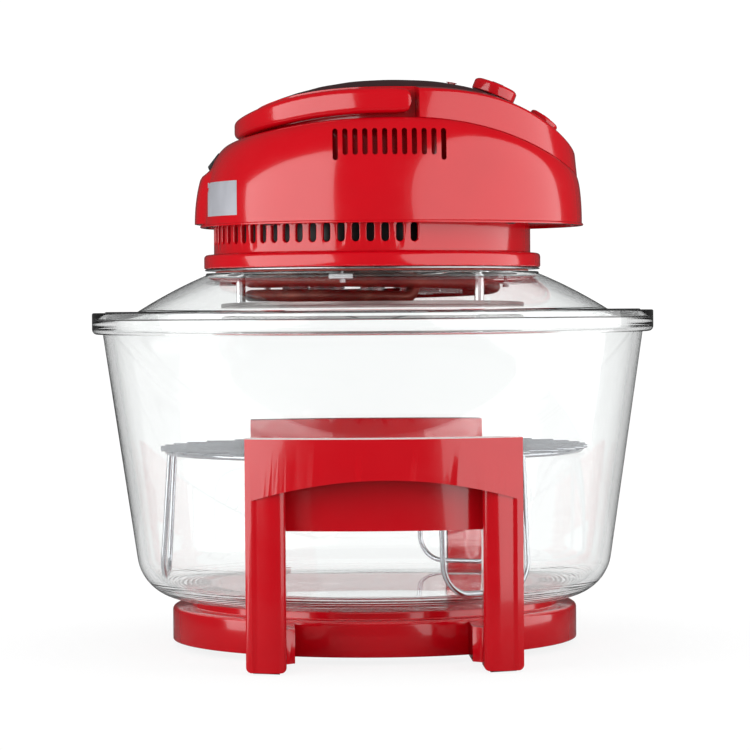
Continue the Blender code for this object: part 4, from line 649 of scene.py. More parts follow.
def turned(name: str, section: Sequence[Point], steps: int = 128,
           closed: bool = True) -> bpy.types.Object:
    """Extrude a circle along a section, resized at each point.

    Args:
        name: The piece's name.
        section: Points as (radius, height), none on the axis.
        steps: The facets of a full turn.
        closed: Whether the section returns to its start. If not, flat caps close both ends.

    Returns:
        The turned piece.
    """
    pick_first()
    radius, height = section[0]
    bpy.ops.mesh.primitive_circle_add(vertices=steps, radius=radius, location=(0, 0, 0),
                                      fill_type="NOTHING" if closed else "NGON")
    piece = named(name)
    ends = list(section[1:]) + ([section[0]] if closed else [])
    with editing(piece):
        bpy.ops.transform.translate(value=(0, 0, height))
        for next_radius, next_height in ends:
            bpy.ops.mesh.extrude_edges_move(
                TRANSFORM_OT_translate={"value": (0, 0, next_height - height)})
            share = next_radius / radius
            bpy.ops.transform.resize(value=(share, share, 1), center_override=(0, 0, next_height))
            radius, height = next_radius, next_height
        if not closed:
            bpy.ops.mesh.edge_face_add()
    return close(piece)


def extruded(name: str, outline: Sequence[Point], low: float, high: float) -> bpy.types.Object:
    """Fill a plan outline and extrude it.

    Args:
        name: The piece's name.
        outline: The plan's points.
        low: The height of the outline.
        high: The height to which it is extruded.

    Returns:
        The piece.
    """
    pick_first()
    bpy.ops.mesh.primitive_circle_add(vertices=len(outline), radius=1, fill_type="NGON")
    piece = named(name)
    for vert, (x, y) in zip(piece.data.vertices, outline):
        vert.co = (x, y, low)
    with editing(piece):
        bpy.ops.mesh.extrude_region_move(TRANSFORM_OT_translate={"value": (0, 0, high - low)})
    return close(piece)


def block(name: str, low: Sequence[float], high: Sequence[float]) -> bpy.types.Object:
    """Make a box.

    Args:
        name: The box's name.
        low: Its lowest corner.
        high: Its highest corner.

    Returns:
        The box.
    """
    bpy.ops.mesh.primitive_cube_add(size=1, location=[(a + b) / 2 for a, b in zip(low, high)])
    piece = named(name)
    piece.scale = [b - a for a, b in zip(low, high)]
    settle(piece)
    return piece


def middle_block(name: str, half: Point, low: float, high: float) -> bpy.types.Object:
    """Make a box about the Z axis, from its half width and half depth and its two heights."""
    return block(name, (-half[0], -half[1], low), (*half, high))


def drill(radius: float, depth: float, place: Sequence[float] = (0, 0, 0), sides: int = 32,
          turn: Sequence[float] = (0, 0, 0)) -> bpy.types.Object:
    """Make a cylinder to cut with, by its radius, its depth, its middle, its sides and its turn."""
    bpy.ops.mesh.primitive_cylinder_add(vertices=sides, radius=radius, depth=depth,
                                        location=place, rotation=turn)
    return named("bore")


def grown(name: str, bm: bmesh.types.BMesh) -> bpy.types.Object:
    """Make a piece of a mesh that is being built.

    Args:
        name: The piece's name.
        bm: The mesh, which is freed.

    Returns:
        The piece, closed.
    """
    mesh = bpy.data.meshes.new(name)
    bm.to_mesh(mesh)
    bm.free()
    piece = bpy.data.objects.new(name, mesh)
    bpy.context.scene.collection.objects.link(piece)
    return close(piece, FINE_MERGE)


def skinned(name: str, rings: Sequence[Sequence[Sequence[float]]],
            closed: bool = False) -> bpy.types.Object:
    """Skin a row of rings of points.

    Args:
        name: The piece's name.
        rings: The rings. A ring of one point is a pole.
        closed: Whether the last ring is joined to the first. If not, both ends are filled.

    Returns:
        The piece.
    """
    bm = bmesh.new()
    rows = [[bm.verts.new(point) for point in ring] for ring in rings]
    pairs = list(zip(rows, rows[1:])) + ([(rows[-1], rows[0])] if closed else [])
    for lower, upper in pairs:
        count = max(len(lower), len(upper))
        for index in range(count if count > 1 else 0):
            after = (index + 1) % count
            corners = [lower[index % len(lower)], lower[after % len(lower)],
                       upper[after % len(upper)], upper[index % len(upper)]]
            bm.faces.new(list(dict.fromkeys(corners)))
    if not closed:
        for row in (rows[0], rows[-1]):
            if len(row) > 2:
                bm.faces.new(row)
    return grown(name, bm)


def slot_tool(outlines: Sequence[tuple[float, list[Point]]], angle: float,
              shift: float = 0.0) -> bpy.types.Object:
    """Skin a cutter that faces an angle about Z.

    Args:
        outlines: Each distance from the axis, with the slot's outline there.
        angle: The angle.
        shift: How far the cutter is moved along X.

    Returns:
        The cutter.
    """
    rings = []
    for out, outline in outlines:
        rings.append([polar(out, angle, height) + polar(across, angle + QUARTER)
                      + Vector((shift, 0, 0)) for across, height in outline])
    return skinned("slot", rings)


def tube(name: str, points: Sequence[Vector], radius: float, sides: int = 16) -> bpy.types.Object:
    """Sweep a round bar along points with a bevelled curve, and turn it into a mesh.

    Args:
        name: The bar's name.
        points: Its centre line.
        radius: Its radius.
        sides: The facets round it.

    Returns:
        The bar.
    """
    data = bpy.data.curves.new(name, "CURVE")
    data.dimensions = "3D"
    data.bevel_depth = radius
    data.bevel_resolution = sides // 4
    data.use_fill_caps = True
    spline = data.splines.new("POLY")
    spline.points.add(len(points) - 1)
    for target, point in zip(spline.points, points):
        target.co = (*point, 1.0)
    piece = bpy.data.objects.new(name, data)
    bpy.context.scene.collection.objects.link(piece)
    pick(piece)
    bpy.ops.object.convert(target="MESH")
    return close(named(name), FINE_MERGE)


def stand_on(piece: bpy.types.Object, point: Vector, direction: Vector) -> bpy.types.Object:
    """Turn a piece from +Z to a direction and move it to a point.

    Args:
        piece: The piece, modelled at the origin.
        point: Where its origin goes.
        direction: Where its +Z points.

    Returns:
        The piece.
    """
    turn = direction.to_track_quat("Z", "Y").to_matrix().to_4x4()
    piece.matrix_world = Matrix.Translation(point) @ turn
    settle(piece)
    return piece


def finish(piece: bpy.types.Object, look: Finish, body: Body, *nodes: str,
           angle: float = 40.0) -> bpy.types.Object:
    """Dress a finished piece, set it on its body and let it stand for its nodes.

    Args:
        piece: The piece, in place.
        look: Its finish.
        body: The body that it rides on.
        nodes: The frame's nodes that it stands for.
        angle: The angle in degrees above which its edges stay sharp.

    Returns:
        The piece.
    """
    smooth(piece, angle)
    piece.data.materials.clear()
    piece.data.materials.append(look.material())
    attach(piece, body.value)
    if nodes:
        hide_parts(*nodes)
    LOG.info("%s on %s, %d faces", piece.name, body.value, len(piece.data.polygons))
    return piece


def keep(look: Finish, *nodes: str, edge: float = FINE_EDGE) -> None:
    """Dress nodes of the frame as they stand.

    Args:
        look: Their finish.
        nodes: The nodes' names.
        edge: How wide their edges are rounded, or 0 to leave them.
    """
    for node in nodes:
        piece = frame["nodes"][node]
        piece.data.materials.clear()
        piece.data.materials.append(look.material())
        if edge:
            step = piece.modifiers.new("edges", "BEVEL")
            step.width, step.segments = edge, 2
            step.limit_method, step.angle_limit = "ANGLE", math.radians(KEPT_CREASE)
        LOG.info("%s dressed", node)


def numbered(name: str, count: int) -> list[str]:
    """Return the names of nodes that are numbered from 1."""
    return [f"{name}_{number}" for number in range(1, count + 1)]


# Stand


@dataclass
class Stand:
    """The red stand: a channel ring with a raised seat, and a handle frame on either side."""

    ring_radius: float = 0.1225
    ring_bottom: float = 0.0040
    ring_top: float = 0.0245
    ring_wall: float = 0.0025
    ring_toe: float = 0.0005
    ring_shoulder: float = 0.0026
    ring_facets: int = 160
    seat_radius: float = 0.1110
    seat_inner: float = 0.0970
    seat_top: float = 0.0290
    seat_edge: float = 0.0010
    seat_root: float = 0.0007
    radius: float = 0.1820
    half_width: float = 0.0775
    depth: float = 0.0225
    wall: float = 0.0030
    bottom: float = 0.0010
    top: float = 0.1310
    edge: float = 0.0009
    edge_angle: float = 32
    foot_edge: float = 0.0004
    grip_bottom: float = 0.0790
    leg_inner: float = 0.0549
    flange_inner: float = 0.0720
    recess: float = 0.0012
    slope: float = 0.0022
    slope_proud: float = 0.0001
    round_depth: float = 0.0068
    heel: float = 0.0030
    heel_margin: float = 0.0010
    heel_reach: Point = (0.002, 0.020)
    heel_steps: int = 8
    front_steps: int = 20
    arch_steps: int = 32
    arch_end: float = 0.0974
    arch_rise: float = 0.0109
    arm_inner: float = 0.0500
    arm_outer: float = 0.0680
    arm_root: float = 0.0060
    arm_drop: float = 0.0010
    arm_overlap: float = 0.0003
    arm_steps: int = 12
    overrun: float = 0.0040
    steps: int = 48

    def build(self) -> None:
        """Model the ring and both handles, and dress the feet and screws."""
        self.ring()
        left = self.handle()
        right = duplicate(left, "stand_handle_right_moulding")
        right.rotation_euler = (0, 0, math.pi)
        settle(right)
        finish(left, RED, Body.STAND, "stand_handle_left")
        finish(right, RED, Body.STAND, "stand_handle_right")
        keep(RUBBER, "foot_front_left", "foot_front_right", "foot_rear_left", "foot_rear_right",
             edge=self.foot_edge)
        keep(BRIGHT, *numbered("stand_screw", 4))

    def ring(self) -> None:
        """Turn the ring's channel section."""
        wall, toe = self.ring_wall, self.ring_toe
        under = self.seat_top - wall, self.ring_top - wall
        section = rounded([
            (self.ring_radius, self.ring_bottom, toe),
            (self.ring_radius, self.ring_top, self.ring_shoulder),
            (self.seat_radius, self.ring_top, self.seat_root),
            (self.seat_radius, self.seat_top, self.seat_edge),
            (self.seat_inner, self.seat_top, self.seat_edge),
            (self.seat_inner, self.ring_bottom, toe), (self.seat_inner + wall, self.ring_bottom, 0),
            (self.seat_inner + wall, under[0], 0), (self.seat_radius - wall, under[0], 0),
            (self.seat_radius - wall, under[1], 0), (self.ring_radius - wall, under[1], 0),
            (self.ring_radius - wall, self.ring_bottom, 0)])
        ring = turned("stand_ring_moulding", section, self.ring_facets)
        finish(ring, RED, Body.STAND, "stand_ring")

    def point(self, x: float, behind: float) -> Point:
        """Return the plan point of the near handle at x, that far behind its curved face."""
        return x, behind - math.sqrt(self.radius ** 2 - x ** 2)

    def slab(self, name: str, reach: float, depths: Point, low: float,
             high: float) -> bpy.types.Object:
        """Extrude a curved slab.

        Args:
            name: Its name.
            reach: How far it goes along x, on both sides.
            depths: How far its front and its back lie behind the handle's curved face.
            low: Its lower height.
            high: Its upper height.

        Returns:
            The slab.
        """
        xs = [reach * (2 * step / self.steps - 1) for step in range(self.steps + 1)]
        outline = [self.point(x, depths[0]) for x in xs]
        outline += [self.point(x, depths[1]) for x in reversed(xs)]
        return extruded(name, outline, low, high)

    def handle(self) -> bpy.types.Object:
        """Cut the window, grip, arch and columns out of a curved slab, and join on its arms.

        Returns:
            The near handle.
        """
        handle = self.slab("stand_handle_left_moulding", self.half_width, (0, self.depth),
                           self.bottom, self.top)
        front = self.radius + self.overrun
        combine(handle, block("window", (-self.leg_inner, -front, -self.overrun),
                              (self.leg_inner, 2 * self.depth - self.radius, self.grip_bottom)))
        combine(handle, self.slab("grip", self.leg_inner, (self.wall, self.depth - self.wall),
                                  self.grip_bottom - self.overrun, self.top - self.wall))
        combine(handle, self.relief())
        for side in (-1, 1):
            combine(handle, self.arm(side), Joining.UNITE)
            for edge, toward in ((self.half_width, -1), (self.leg_inner, 1)):
                combine(handle, self.heel_tool(side * edge, side * toward))
        bevel(handle, self.edge, angle=self.edge_angle)
        return handle

    def heel_tool(self, edge: float, toward: int) -> bpy.types.Object:
        """Return what rounds off one lower corner of a leg.

        Args:
            edge: Where the leg's edge lies along x.
            toward: The sign of x from the edge to the leg's middle.

        Returns:
            The tool.
        """
        heel, low, margin = self.heel, self.bottom, self.heel_margin
        outline = [(edge - toward * margin, low - margin), (edge + toward * heel, low - margin)]
        outline += [(edge + toward * heel * (1 - math.sin(turn)), low + heel * (1 - math.cos(turn)))
                    for turn in quarter(self.heel_steps)]
        outline.append((edge - toward * margin, low + heel))
        front, back = self.heel_reach
        return skinned("heel", [[(x, y, z) for x, z in outline]
                                for y in (-self.radius - front, self.depth - self.radius + back)])

    def relief(self) -> bpy.types.Object:
        """Return what is cut away in front, under the arch and down to the legs' rounded fronts.

        Returns:
            The tool.
        """
        width = self.flange_inner - self.leg_inner
        right = [self.flange_inner - width * math.sin(turn) for turn in quarter(self.front_steps)]
        middle = [self.leg_inner * (1 - 2 * step / self.arch_steps)
                  for step in range(1, self.arch_steps)]
        slope, rings = self.flange_inner + self.slope, []
        for x in [slope] + right + middle + [-x for x in reversed(right)] + [-slope]:
            away = min(1.0, max(0.0, (self.flange_inner - abs(x)) / width))
            behind = self.recess + self.round_depth * (1 - math.sqrt(1 - away ** 2))
            behind = behind if abs(x) < slope else -self.slope_proud
            arch = self.arch_end + self.arch_rise * (1 - (x / self.flange_inner) ** 2)
            front, back = self.point(x, -self.overrun), self.point(x, behind)
            rings.append([(*front, -self.overrun), (*front, arch), (*back, arch),
                          (*back, -self.overrun)])
        return skinned("relief", rings)

    def arm(self, side: int) -> bpy.types.Object:
        """Return the arm from one leg's back to the ring.

        Args:
            side: The sign of x on the arm's side.

        Returns:
            The arm.
        """
        reach = self.ring_radius + self.arm_overlap
        xs = [self.arm_inner + (self.arm_outer - self.arm_inner) * step / self.arm_steps
              for step in range(self.arm_steps + 1)]
        outline = [(side * x, -math.sqrt(reach ** 2 - x ** 2)) for x in xs]
        outline += [self.point(side * x, self.depth + behind) for x, behind in (
            (self.arm_outer, -self.arm_root), (self.leg_inner, -self.arm_root),
            (self.leg_inner, 0), (self.arm_inner, self.arm_root))]
        return extruded("arm", outline, self.ring_bottom, self.ring_top - self.arm_drop)


# Glass and wire


@dataclass
class Bowl:
    """The glass bowl, whose rim has a rebate for the lid."""

    hub: float = 0.03
    base: float = 0.0293
    wall: float = 0.0050
    flat: float = 0.1160
    corner: float = 0.0280
    corner_steps: int = 20
    neck_radius: float = 0.1635
    neck_level: float = 0.1885
    neck_fillet: float = 0.0004
    rim_radius: float = 0.1700
    rim_top: float = 0.2015
    rim_roll: float = 0.0058
    rim_edge: float = 0.0010
    rebate_radius: float = 0.1634
    rebate_level: float = 0.1973
    rebate_edge: float = 0.0009
    rebate_root: float = 0.0005
    mouth_edge: float = 0.0008
    fillet_steps: int = 5
    facets: int = 192
    crease: float = 50

    def arc(self, offset: float) -> list[Point]:
        """Return the corner's arc from the base to the sloping wall.

        Args:
            offset: How far inside the outer face it runs.

        Returns:
            The arc's points.
        """
        run, rise = self.neck_radius - self.flat, self.neck_level - self.base - self.corner
        end = math.atan2(rise, run) - math.acos(self.corner / math.hypot(run, rise))
        radius = self.corner - offset
        turns = [-QUARTER + (end + QUARTER) * step / self.corner_steps
                 for step in range(self.corner_steps + 1)]
        return [(self.flat + radius * math.cos(turn),
                 self.base + self.corner + radius * math.sin(turn)) for turn in turns]

    def build(self) -> None:
        """Turn the bowl's section."""
        outer, inner = self.arc(0), self.arc(self.wall)
        slope = (self.neck_radius - outer[-1][0]) / (self.neck_level - outer[-1][1])
        inside = inner[-1][0] + slope * (self.rebate_level - inner[-1][1])
        rim = rounded([
            (*outer[-1], 0), (self.neck_radius, self.neck_level, self.neck_fillet),
            (self.rim_radius, self.neck_level, self.rim_roll),
            (self.rim_radius, self.rim_top, self.rim_edge),
            (self.rebate_radius, self.rim_top, self.rebate_edge),
            (self.rebate_radius, self.rebate_level, self.rebate_root),
            (inside, self.rebate_level, self.mouth_edge), (*inner[-1], 0)], closed=False,
            steps=self.fillet_steps)
        section = [(self.hub, self.base)] + outer[:-1] + rim + inner[-2::-1]
        section.append((self.hub, self.base + self.wall))
        bowl = turned("bowl_glass", section, self.facets, closed=False)
        finish(bowl, BOWL_GLASS, Body.BOWL, "glass_bowl", angle=self.crease)


@dataclass
class Rack:
    """The chromed wire rack: a ring, a row of bars, and three bent legs."""

    ring_radius: float = 0.1255
    level: float = 0.1180
    wire: float = 0.0016
    bar: float = 0.0012
    bar_end_share: float = 0.4
    count: int = 11
    pitch: float = 0.0190
    overhang: float = 0.0040
    weld: float = 0.0017
    foot_radius: float = 0.1270
    foot_level: float = 0.0404
    half_width: float = 0.0280
    corner: float = 0.0160
    bend_steps: int = 10
    leg_angles: tuple[float, ...] = (180, 62, -62)
    ring_facets: int = 144
    wire_facets: int = 16
    crease: float = 50

    def build(self) -> None:
        """Bend the wires and join them."""
        bpy.ops.mesh.primitive_torus_add(
            major_radius=self.ring_radius, minor_radius=self.wire, location=(0, 0, self.level),
            major_segments=self.ring_facets, minor_segments=self.wire_facets)
        ring = named("ring_wire")
        settle(ring)
        wires = [ring]
        for number in range(self.count):
            y = self.pitch * (number - (self.count - 1) / 2)
            reach = math.sqrt(self.ring_radius ** 2 - y ** 2) + self.overhang
            height = self.level + self.weld
            bar = tube("bar", [Vector((-reach, y, height)), Vector((reach, y, height))], self.bar)
            bevel(bar, self.bar * self.bar_end_share)
            wires.append(bar)
        wires += [self.leg(math.radians(angle)) for angle in self.leg_angles]
        finish(joined("rack_wires", wires), CHROME, Body.RACK, "wire_rack", angle=self.crease)

    def leg(self, angle: float) -> bpy.types.Object:
        """Bend one U-shaped leg, splayed from the ring to the bowl's corner.

        Args:
            angle: Where it stands, about Z.

        Returns:
            The leg.
        """
        side = [(self.half_width - self.corner * (1 - math.cos(turn)),
                 self.foot_level + self.corner * (1 - math.sin(turn)))
                for turn in quarter(self.bend_steps)]
        profile = [(self.half_width, self.level)] + side
        profile += [(-across, height) for across, height in reversed(profile)]
        start = math.sqrt(self.ring_radius ** 2 - self.half_width ** 2)
        points = []
        for across, height in profile:
            share = (self.level - height) / (self.level - self.foot_level)
            radius = start + (self.foot_radius - start) * share
            points.append(polar(radius, angle, height) + polar(across, angle + QUARTER))
        return tube("leg", points, self.wire)


@dataclass
class Lid:
    """The glass lid, its gasket, and the clips that hold its neck."""

    base: float = 0.1976
    wall: float = 0.0045
    flange: float = 0.1625
    flange_inner: float = 0.1455
    flange_foot_edge: float = 0.0010
    flange_top_edge: float = 0.0012
    flange_root: float = 0.0020
    foot: float = 0.1425
    bend_shares: Point = (0.5, 0.6)
    cone_steps: int = 16
    neck: float = 0.1010
    neck_base: float = 0.2238
    neck_top: float = 0.2250
    neck_edge: float = 0.0006
    lip: float = 0.0890
    lip_edge: float = 0.0005
    lip_root: float = 0.0010
    lip_back: float = 0.0030
    thin: float = 0.0030
    facets: int = 192
    crease: float = 50

    def build(self) -> None:
        """Turn the glass, and dress what lies on its neck."""
        top, under = self.base + self.wall, self.neck_top - self.thin / 2
        across, up = self.bend_shares
        control = (self.foot + (self.neck - self.foot) * across,
                   top + (self.neck_base - top) * up)
        cone = []
        for step in range(self.cone_steps + 1):
            t = step / self.cone_steps
            cone.append(tuple((1 - t) ** 2 * a + 2 * t * (1 - t) * b + t ** 2 * c for a, b, c
                              in zip((self.foot, top), control, (self.neck, self.neck_base))))
        half = self.thin / 3
        inner = [(radius - half, height - self.thin) for radius, height in reversed(cone[1:])]
        outside = rounded([
            (self.flange, self.base, self.flange_foot_edge),
            (self.flange, top, self.flange_top_edge), (self.flange_inner, top, self.flange_root),
            (*cone[0], 0)], closed=False)
        neck = rounded([
            (*cone[-1], 0), (self.neck, self.neck_top, self.neck_edge),
            (self.lip, self.neck_top, self.lip_edge), (self.lip, under, self.lip_edge),
            (self.neck - self.lip_back, under, self.lip_root), (*inner[0], 0)], closed=False)
        section = outside + cone[1:] + neck[1:] + inner[1:] + [(inner[-1][0], self.base)]
        lid = turned("lid_glass", section, self.facets)
        finish(lid, CLEAR, Body.LID, "glass_lid", angle=self.crease)
        keep(SILICONE, "lid_gasket")
        keep(STEEL, *numbered("clamp_clip", 3))
        keep(BRIGHT, *numbered("clamp_screw", 3))


@dataclass
class Oven:
    """What heats the food: the tubular heater, the guard under it, the shield and the fans."""

    shield_base: float = 0.2264
    shield_wall: float = 0.0009
    shield_radius: float = 0.1015
    shield_fillets: tuple[float, ...] = (0.0003, 0.0006, 0.0012, 0.0002)
    dish: float = 0.0799
    dish_top: float = 0.2338
    bore: float = 0.0055
    tube_gap: float = 0.0004
    tube_facets: int = 20
    tube_crease: float = 60
    bore_depth: float = 0.03
    guard_radius: float = 0.0920
    guard_bore: float = 0.0100
    guard_top: float = 0.2050
    guard_wall: float = 0.0010
    guard_roll: float = 0.0016
    guard_fillets: tuple[float, ...] = (0.0002, 0.0008, 0.0004, 0.0006)
    slot_width: float = 0.0045
    slot_ends: Point = (0.0300, 0.0680)
    slot_count: int = 12
    slot_overrun: float = 0.002
    post_ring: float = 0.0832
    post_bore: float = 0.0017
    post_bore_depth: float = 0.01
    post_facets: int = 24
    post_angles: tuple[float, ...] = (-43, 77, 197)
    coil_radius: float = 0.0742
    coil_tube: float = 0.0035
    coil_top: float = 0.2270
    coil_pitch: float = 0.0086
    coil_turns: float = 2.08
    coil_start: float = math.radians(-104)
    coil_bend: float = 0.0055
    coil_end: float = 0.2440
    bend_steps: int = 10
    inward: float = 0.0085
    drawn: float = math.radians(60)
    steps_per_turn: int = 72
    facets: int = 160
    stator_edge: float = 0.0004
    winding_edge: float = 0.0020

    def build(self) -> None:
        """Model the heater, guard and shield, and dress the posts, fans and motor."""
        points = self.path()
        heater = tube("heater_tube", points, self.coil_tube, self.tube_facets)
        finish(heater, BROWNED, Body.LID, "heater_coil", angle=self.tube_crease)
        self.shield(points[0], points[-1])
        self.guard()
        keep(BRIGHT, *numbered("guard_post", 3), *numbered("guard_screw", 3))
        keep(STEEL, "oven_fan", "motor_shaft", "motor_rotor", "bearing_bridge", "motor_mount")
        keep(BLACK, "cooling_fan", edge=SOFT_EDGE)
        keep(LAMINATED, "motor_stator", edge=self.stator_edge)
        keep(COPPER, "motor_winding", edge=self.winding_edge)

    def path(self) -> list[Vector]:
        """Return the heater's centre line: down one end, round the coil, and up the other end.

        Returns:
            The line's points.
        """
        count = round(self.steps_per_turn * self.coil_turns)
        whole = math.tau * self.coil_turns
        points = []
        for step in range(count + 1):
            turn = whole * step / count
            left = min(1.0, (whole - turn) / self.drawn)
            radius = self.coil_radius - self.inward * (1 - left * left * (3 - 2 * left))
            height = self.coil_top - self.coil_pitch * turn / math.tau
            points.append(polar(radius, self.coil_start + turn, height))
        first = polar(1, self.coil_start - QUARTER)
        last = polar(1, self.coil_start + whole + QUARTER)
        return self.riser(points[0], first)[::-1] + points + self.riser(points[-1], last)

    def riser(self, point: Vector, along: Vector) -> list[Vector]:
        """Return the bend from a level direction up to the top of a heater end.

        Args:
            point: Where the coil ends.
            along: The coil's direction there.

        Returns:
            The bend's points.
        """
        bend = [point + along * self.coil_bend * math.sin(turn)
                + Vector((0, 0, self.coil_bend * (1 - math.cos(turn))))
                for turn in quarter(self.bend_steps)[1:]]
        return bend + [Vector((*bend[-1][:2], self.coil_end))]

    def shield(self, *ends: Vector) -> None:
        """Turn the dished plate, bored for the heater's ends.

        Args:
            ends: The tops of the heater's ends.
        """
        low, wall, rise = self.shield_base, self.shield_wall, self.dish_top - self.shield_wall
        edge, root, shoulder, rim = self.shield_fillets
        section = rounded([
            (self.shield_radius, low, edge), (self.shield_radius, low + wall, edge),
            (self.dish, low + wall, root), (self.dish, self.dish_top, shoulder),
            (self.bore, self.dish_top, rim), (self.bore, rise, rim),
            (self.dish - wall, rise, root), (self.dish - wall, low, edge)])
        plate = turned("heat_shield_pressing", section, self.facets)
        for end in ends:
            combine(plate, drill(self.coil_tube + self.tube_gap, self.bore_depth,
                                 (end.x, end.y, self.dish_top)))
        finish(plate, STEEL, Body.LID, "heat_shield")

    def guard(self) -> None:
        """Turn the guard's plate with its rolled rim, and cut its radial slots and its bores."""
        low, top, out = self.guard_top - self.guard_wall, self.guard_top, self.guard_radius
        edge, foot, rim, root = self.guard_fillets
        inside, roll = out - self.guard_wall, top + self.guard_roll
        plate = turned("guard_pressing", rounded([
            (self.guard_bore, low, edge), (out, low, foot), (out, roll, rim), (inside, roll, rim),
            (inside, top, root), (self.guard_bore, top, edge)]), self.facets)
        outline = [(y, -x) for x, y in capsule(self.slot_width, *self.slot_ends)]
        tools = []
        for number in range(self.slot_count):
            slot = extruded("slot", outline, low - self.slot_overrun, top + self.slot_overrun)
            slot.rotation_euler = (0, 0, math.tau * (number + 0.5) / self.slot_count)
            settle(slot)
            tools.append(slot)
        for angle in self.post_angles:
            tools.append(drill(self.post_bore, self.post_bore_depth,
                               polar(self.post_ring, math.radians(angle), top), self.post_facets))
        combine(plate, joined("slots", tools))
        finish(plate, DULLED, Body.LID, "guard_plate")


# Head


@dataclass(frozen=True)
class HeadForm:
    """The curves that the shell, its handle and its panel follow."""

    rear: float = 0.1035
    front: float = 0.1275
    half: float = 0.1070
    centre: float = 0.0120
    collar_rear: float = 0.0950
    collar_front: float = 0.1127
    collar_half: float = 0.0935
    top: float = 0.3308
    top_falls: Point = (0.0355, 0.0133)
    top_power: float = 3
    low: float = 0.3137
    low_falls: Point = (0.0317, 0.0102)
    low_power: float = 2.3
    crown_rise: float = 0.0104
    crown_power: float = 1.5
    pocket_front: float = 0.0245
    pocket: float = 0.0125
    pocket_end: float = 0.0003
    bottom: float = 0.2525
    lip: float = 0.0022
    collar_foot: float = 0.0010
    ramp_out: float = 0.0040
    ramp_top: float = 0.2880
    ramp_fade: float = 0.0060
    ramp_half: float = math.radians(13)

    def plan(self, angle: float, inset: float = 0.0) -> Point:
        """Return a plan point of the shell's lower outline."""
        length = (self.front if math.cos(angle) > 0 else self.rear) - inset
        return length * math.cos(angle), (self.half - inset) * math.sin(angle)

    def collar(self, angle: float, inset: float = 0.0) -> Point:
        """Return a plan point of the collar."""
        length = (self.collar_front if math.cos(angle) > 0 else self.collar_rear) - inset
        return self.centre + length * math.cos(angle), (self.collar_half - inset) * math.sin(angle)

    def fallen(self, height: float, falls: Point, power: float, x: float) -> float:
        """Return a height that falls away from the collar's centre.

        Args:
            height: The height at the centre.
            falls: How far it falls at the front and at the rear.
            power: How late it falls.
            x: The place along the head.

        Returns:
            The height at x.
        """
        away = x - self.centre
        if away > 0:
            return height - falls[0] * (away / self.collar_front) ** power
        return height - falls[1] * (-away / self.collar_rear) ** power

    def collar_top(self, x: float) -> float:
        """Return the height of the collar's upper edge at x."""
        return self.fallen(self.top, self.top_falls, self.top_power, x)

    def collar_low(self, x: float) -> float:
        """Return the height of the collar's lower edge at x."""
        return self.fallen(self.low, self.low_falls, self.low_power, x)

    def crown(self, x: float, y: float) -> float:
        """Return the height of the crowned top.

        Args:
            x: The place along the head.
            y: The place across it.

        Returns:
            The height.
        """
        away = x - self.centre
        along = away / (self.collar_front if away > 0 else self.collar_rear)
        inside = max(0.0, 1 - along ** 2 - (y / self.collar_half) ** 2)
        return self.collar_top(x) + self.crown_rise * inside ** self.crown_power

    def on_crown(self, x: float, y: float = 0.0) -> Vector:
        """Return the point of the crowned top above a plan point."""
        return Vector((x, y, self.crown(x, y)))

    def normal(self, x: float, apart: float = 0.0003) -> Vector:
        """Return the upward normal of the top on its centre line."""
        slope = (self.crown(x + apart, 0) - self.crown(x - apart, 0)) / (2 * apart)
        return Vector((-slope, 0, 1)).normalized()

    def angles(self, front: int = 96, rear: int = 120) -> list[float]:
        """Return the angles of a ring, with a tight pair at each end of the handle's pocket.

        Args:
            front: The steps in front of the pocket.
            rear: The steps round the pocket.

        Returns:
            The angles.
        """
        edge = math.acos((self.pocket_front - self.centre) / self.collar_front)
        tight = self.pocket_end / self.collar_half
        sweep = math.tau - 2 * (edge + tight)
        return ([-edge + tight + (edge - tight) * 2 * step / front for step in range(front + 1)]
                + [edge + tight + sweep * step / rear for step in range(rear + 1)])

    def ramp(self, angle: float, height: float) -> float:
        """Return how far the ramp under the inlet stands out.

        Args:
            angle: The angle about the head.
            height: The height.

        Returns:
            The distance.
        """
        across = max(0.0, 1 - (abs((angle % math.tau) - math.pi) / self.ramp_half) ** 4)
        above = min(1.0, max(0.0, (self.ramp_top - height) / self.ramp_fade))
        return self.ramp_out * across * above * above * (3 - 2 * above)

    def dome(self, angles: Sequence[float], turn: float, inset: float) -> list[Place]:
        """Return one ring of the dome.

        Args:
            angles: The ring's angles.
            turn: Nothing for the ring at the lip, up to a quarter turn at the collar.
            inset: How far inside the outer face it lies.

        Returns:
            The ring's points.
        """
        ring = []
        share = 1 - math.cos(turn)
        base = self.bottom + self.lip
        for angle in angles:
            low, high = self.plan(angle, inset), self.collar(angle, inset + self.collar_foot)
            height = base + (self.collar_low(high[0]) - inset - base) * math.sin(turn)
            ring.append((low[0] + (high[0] - low[0]) * share - self.ramp(angle, height + inset),
                         low[1] + (high[1] - low[1]) * share, height))
        return ring

    def round_collar(self, angles: Sequence[float], insets: Point, drop: float,
                     low: bool = False) -> list[Place]:
        """Return a ring round the collar.

        Args:
            angles: The ring's angles.
            insets: How far it is inset in front and in the pocket.
            drop: How far it lies below the collar's edge.
            low: Whether it follows the lower edge.

        Returns:
            The ring's points.
        """
        ring = []
        for angle in angles:
            x, y = self.collar(angle, insets[self.collar(angle)[0] < self.pocket_front])
            ring.append((x, y, (self.collar_low(x) if low else self.collar_top(x)) - drop))
        return ring

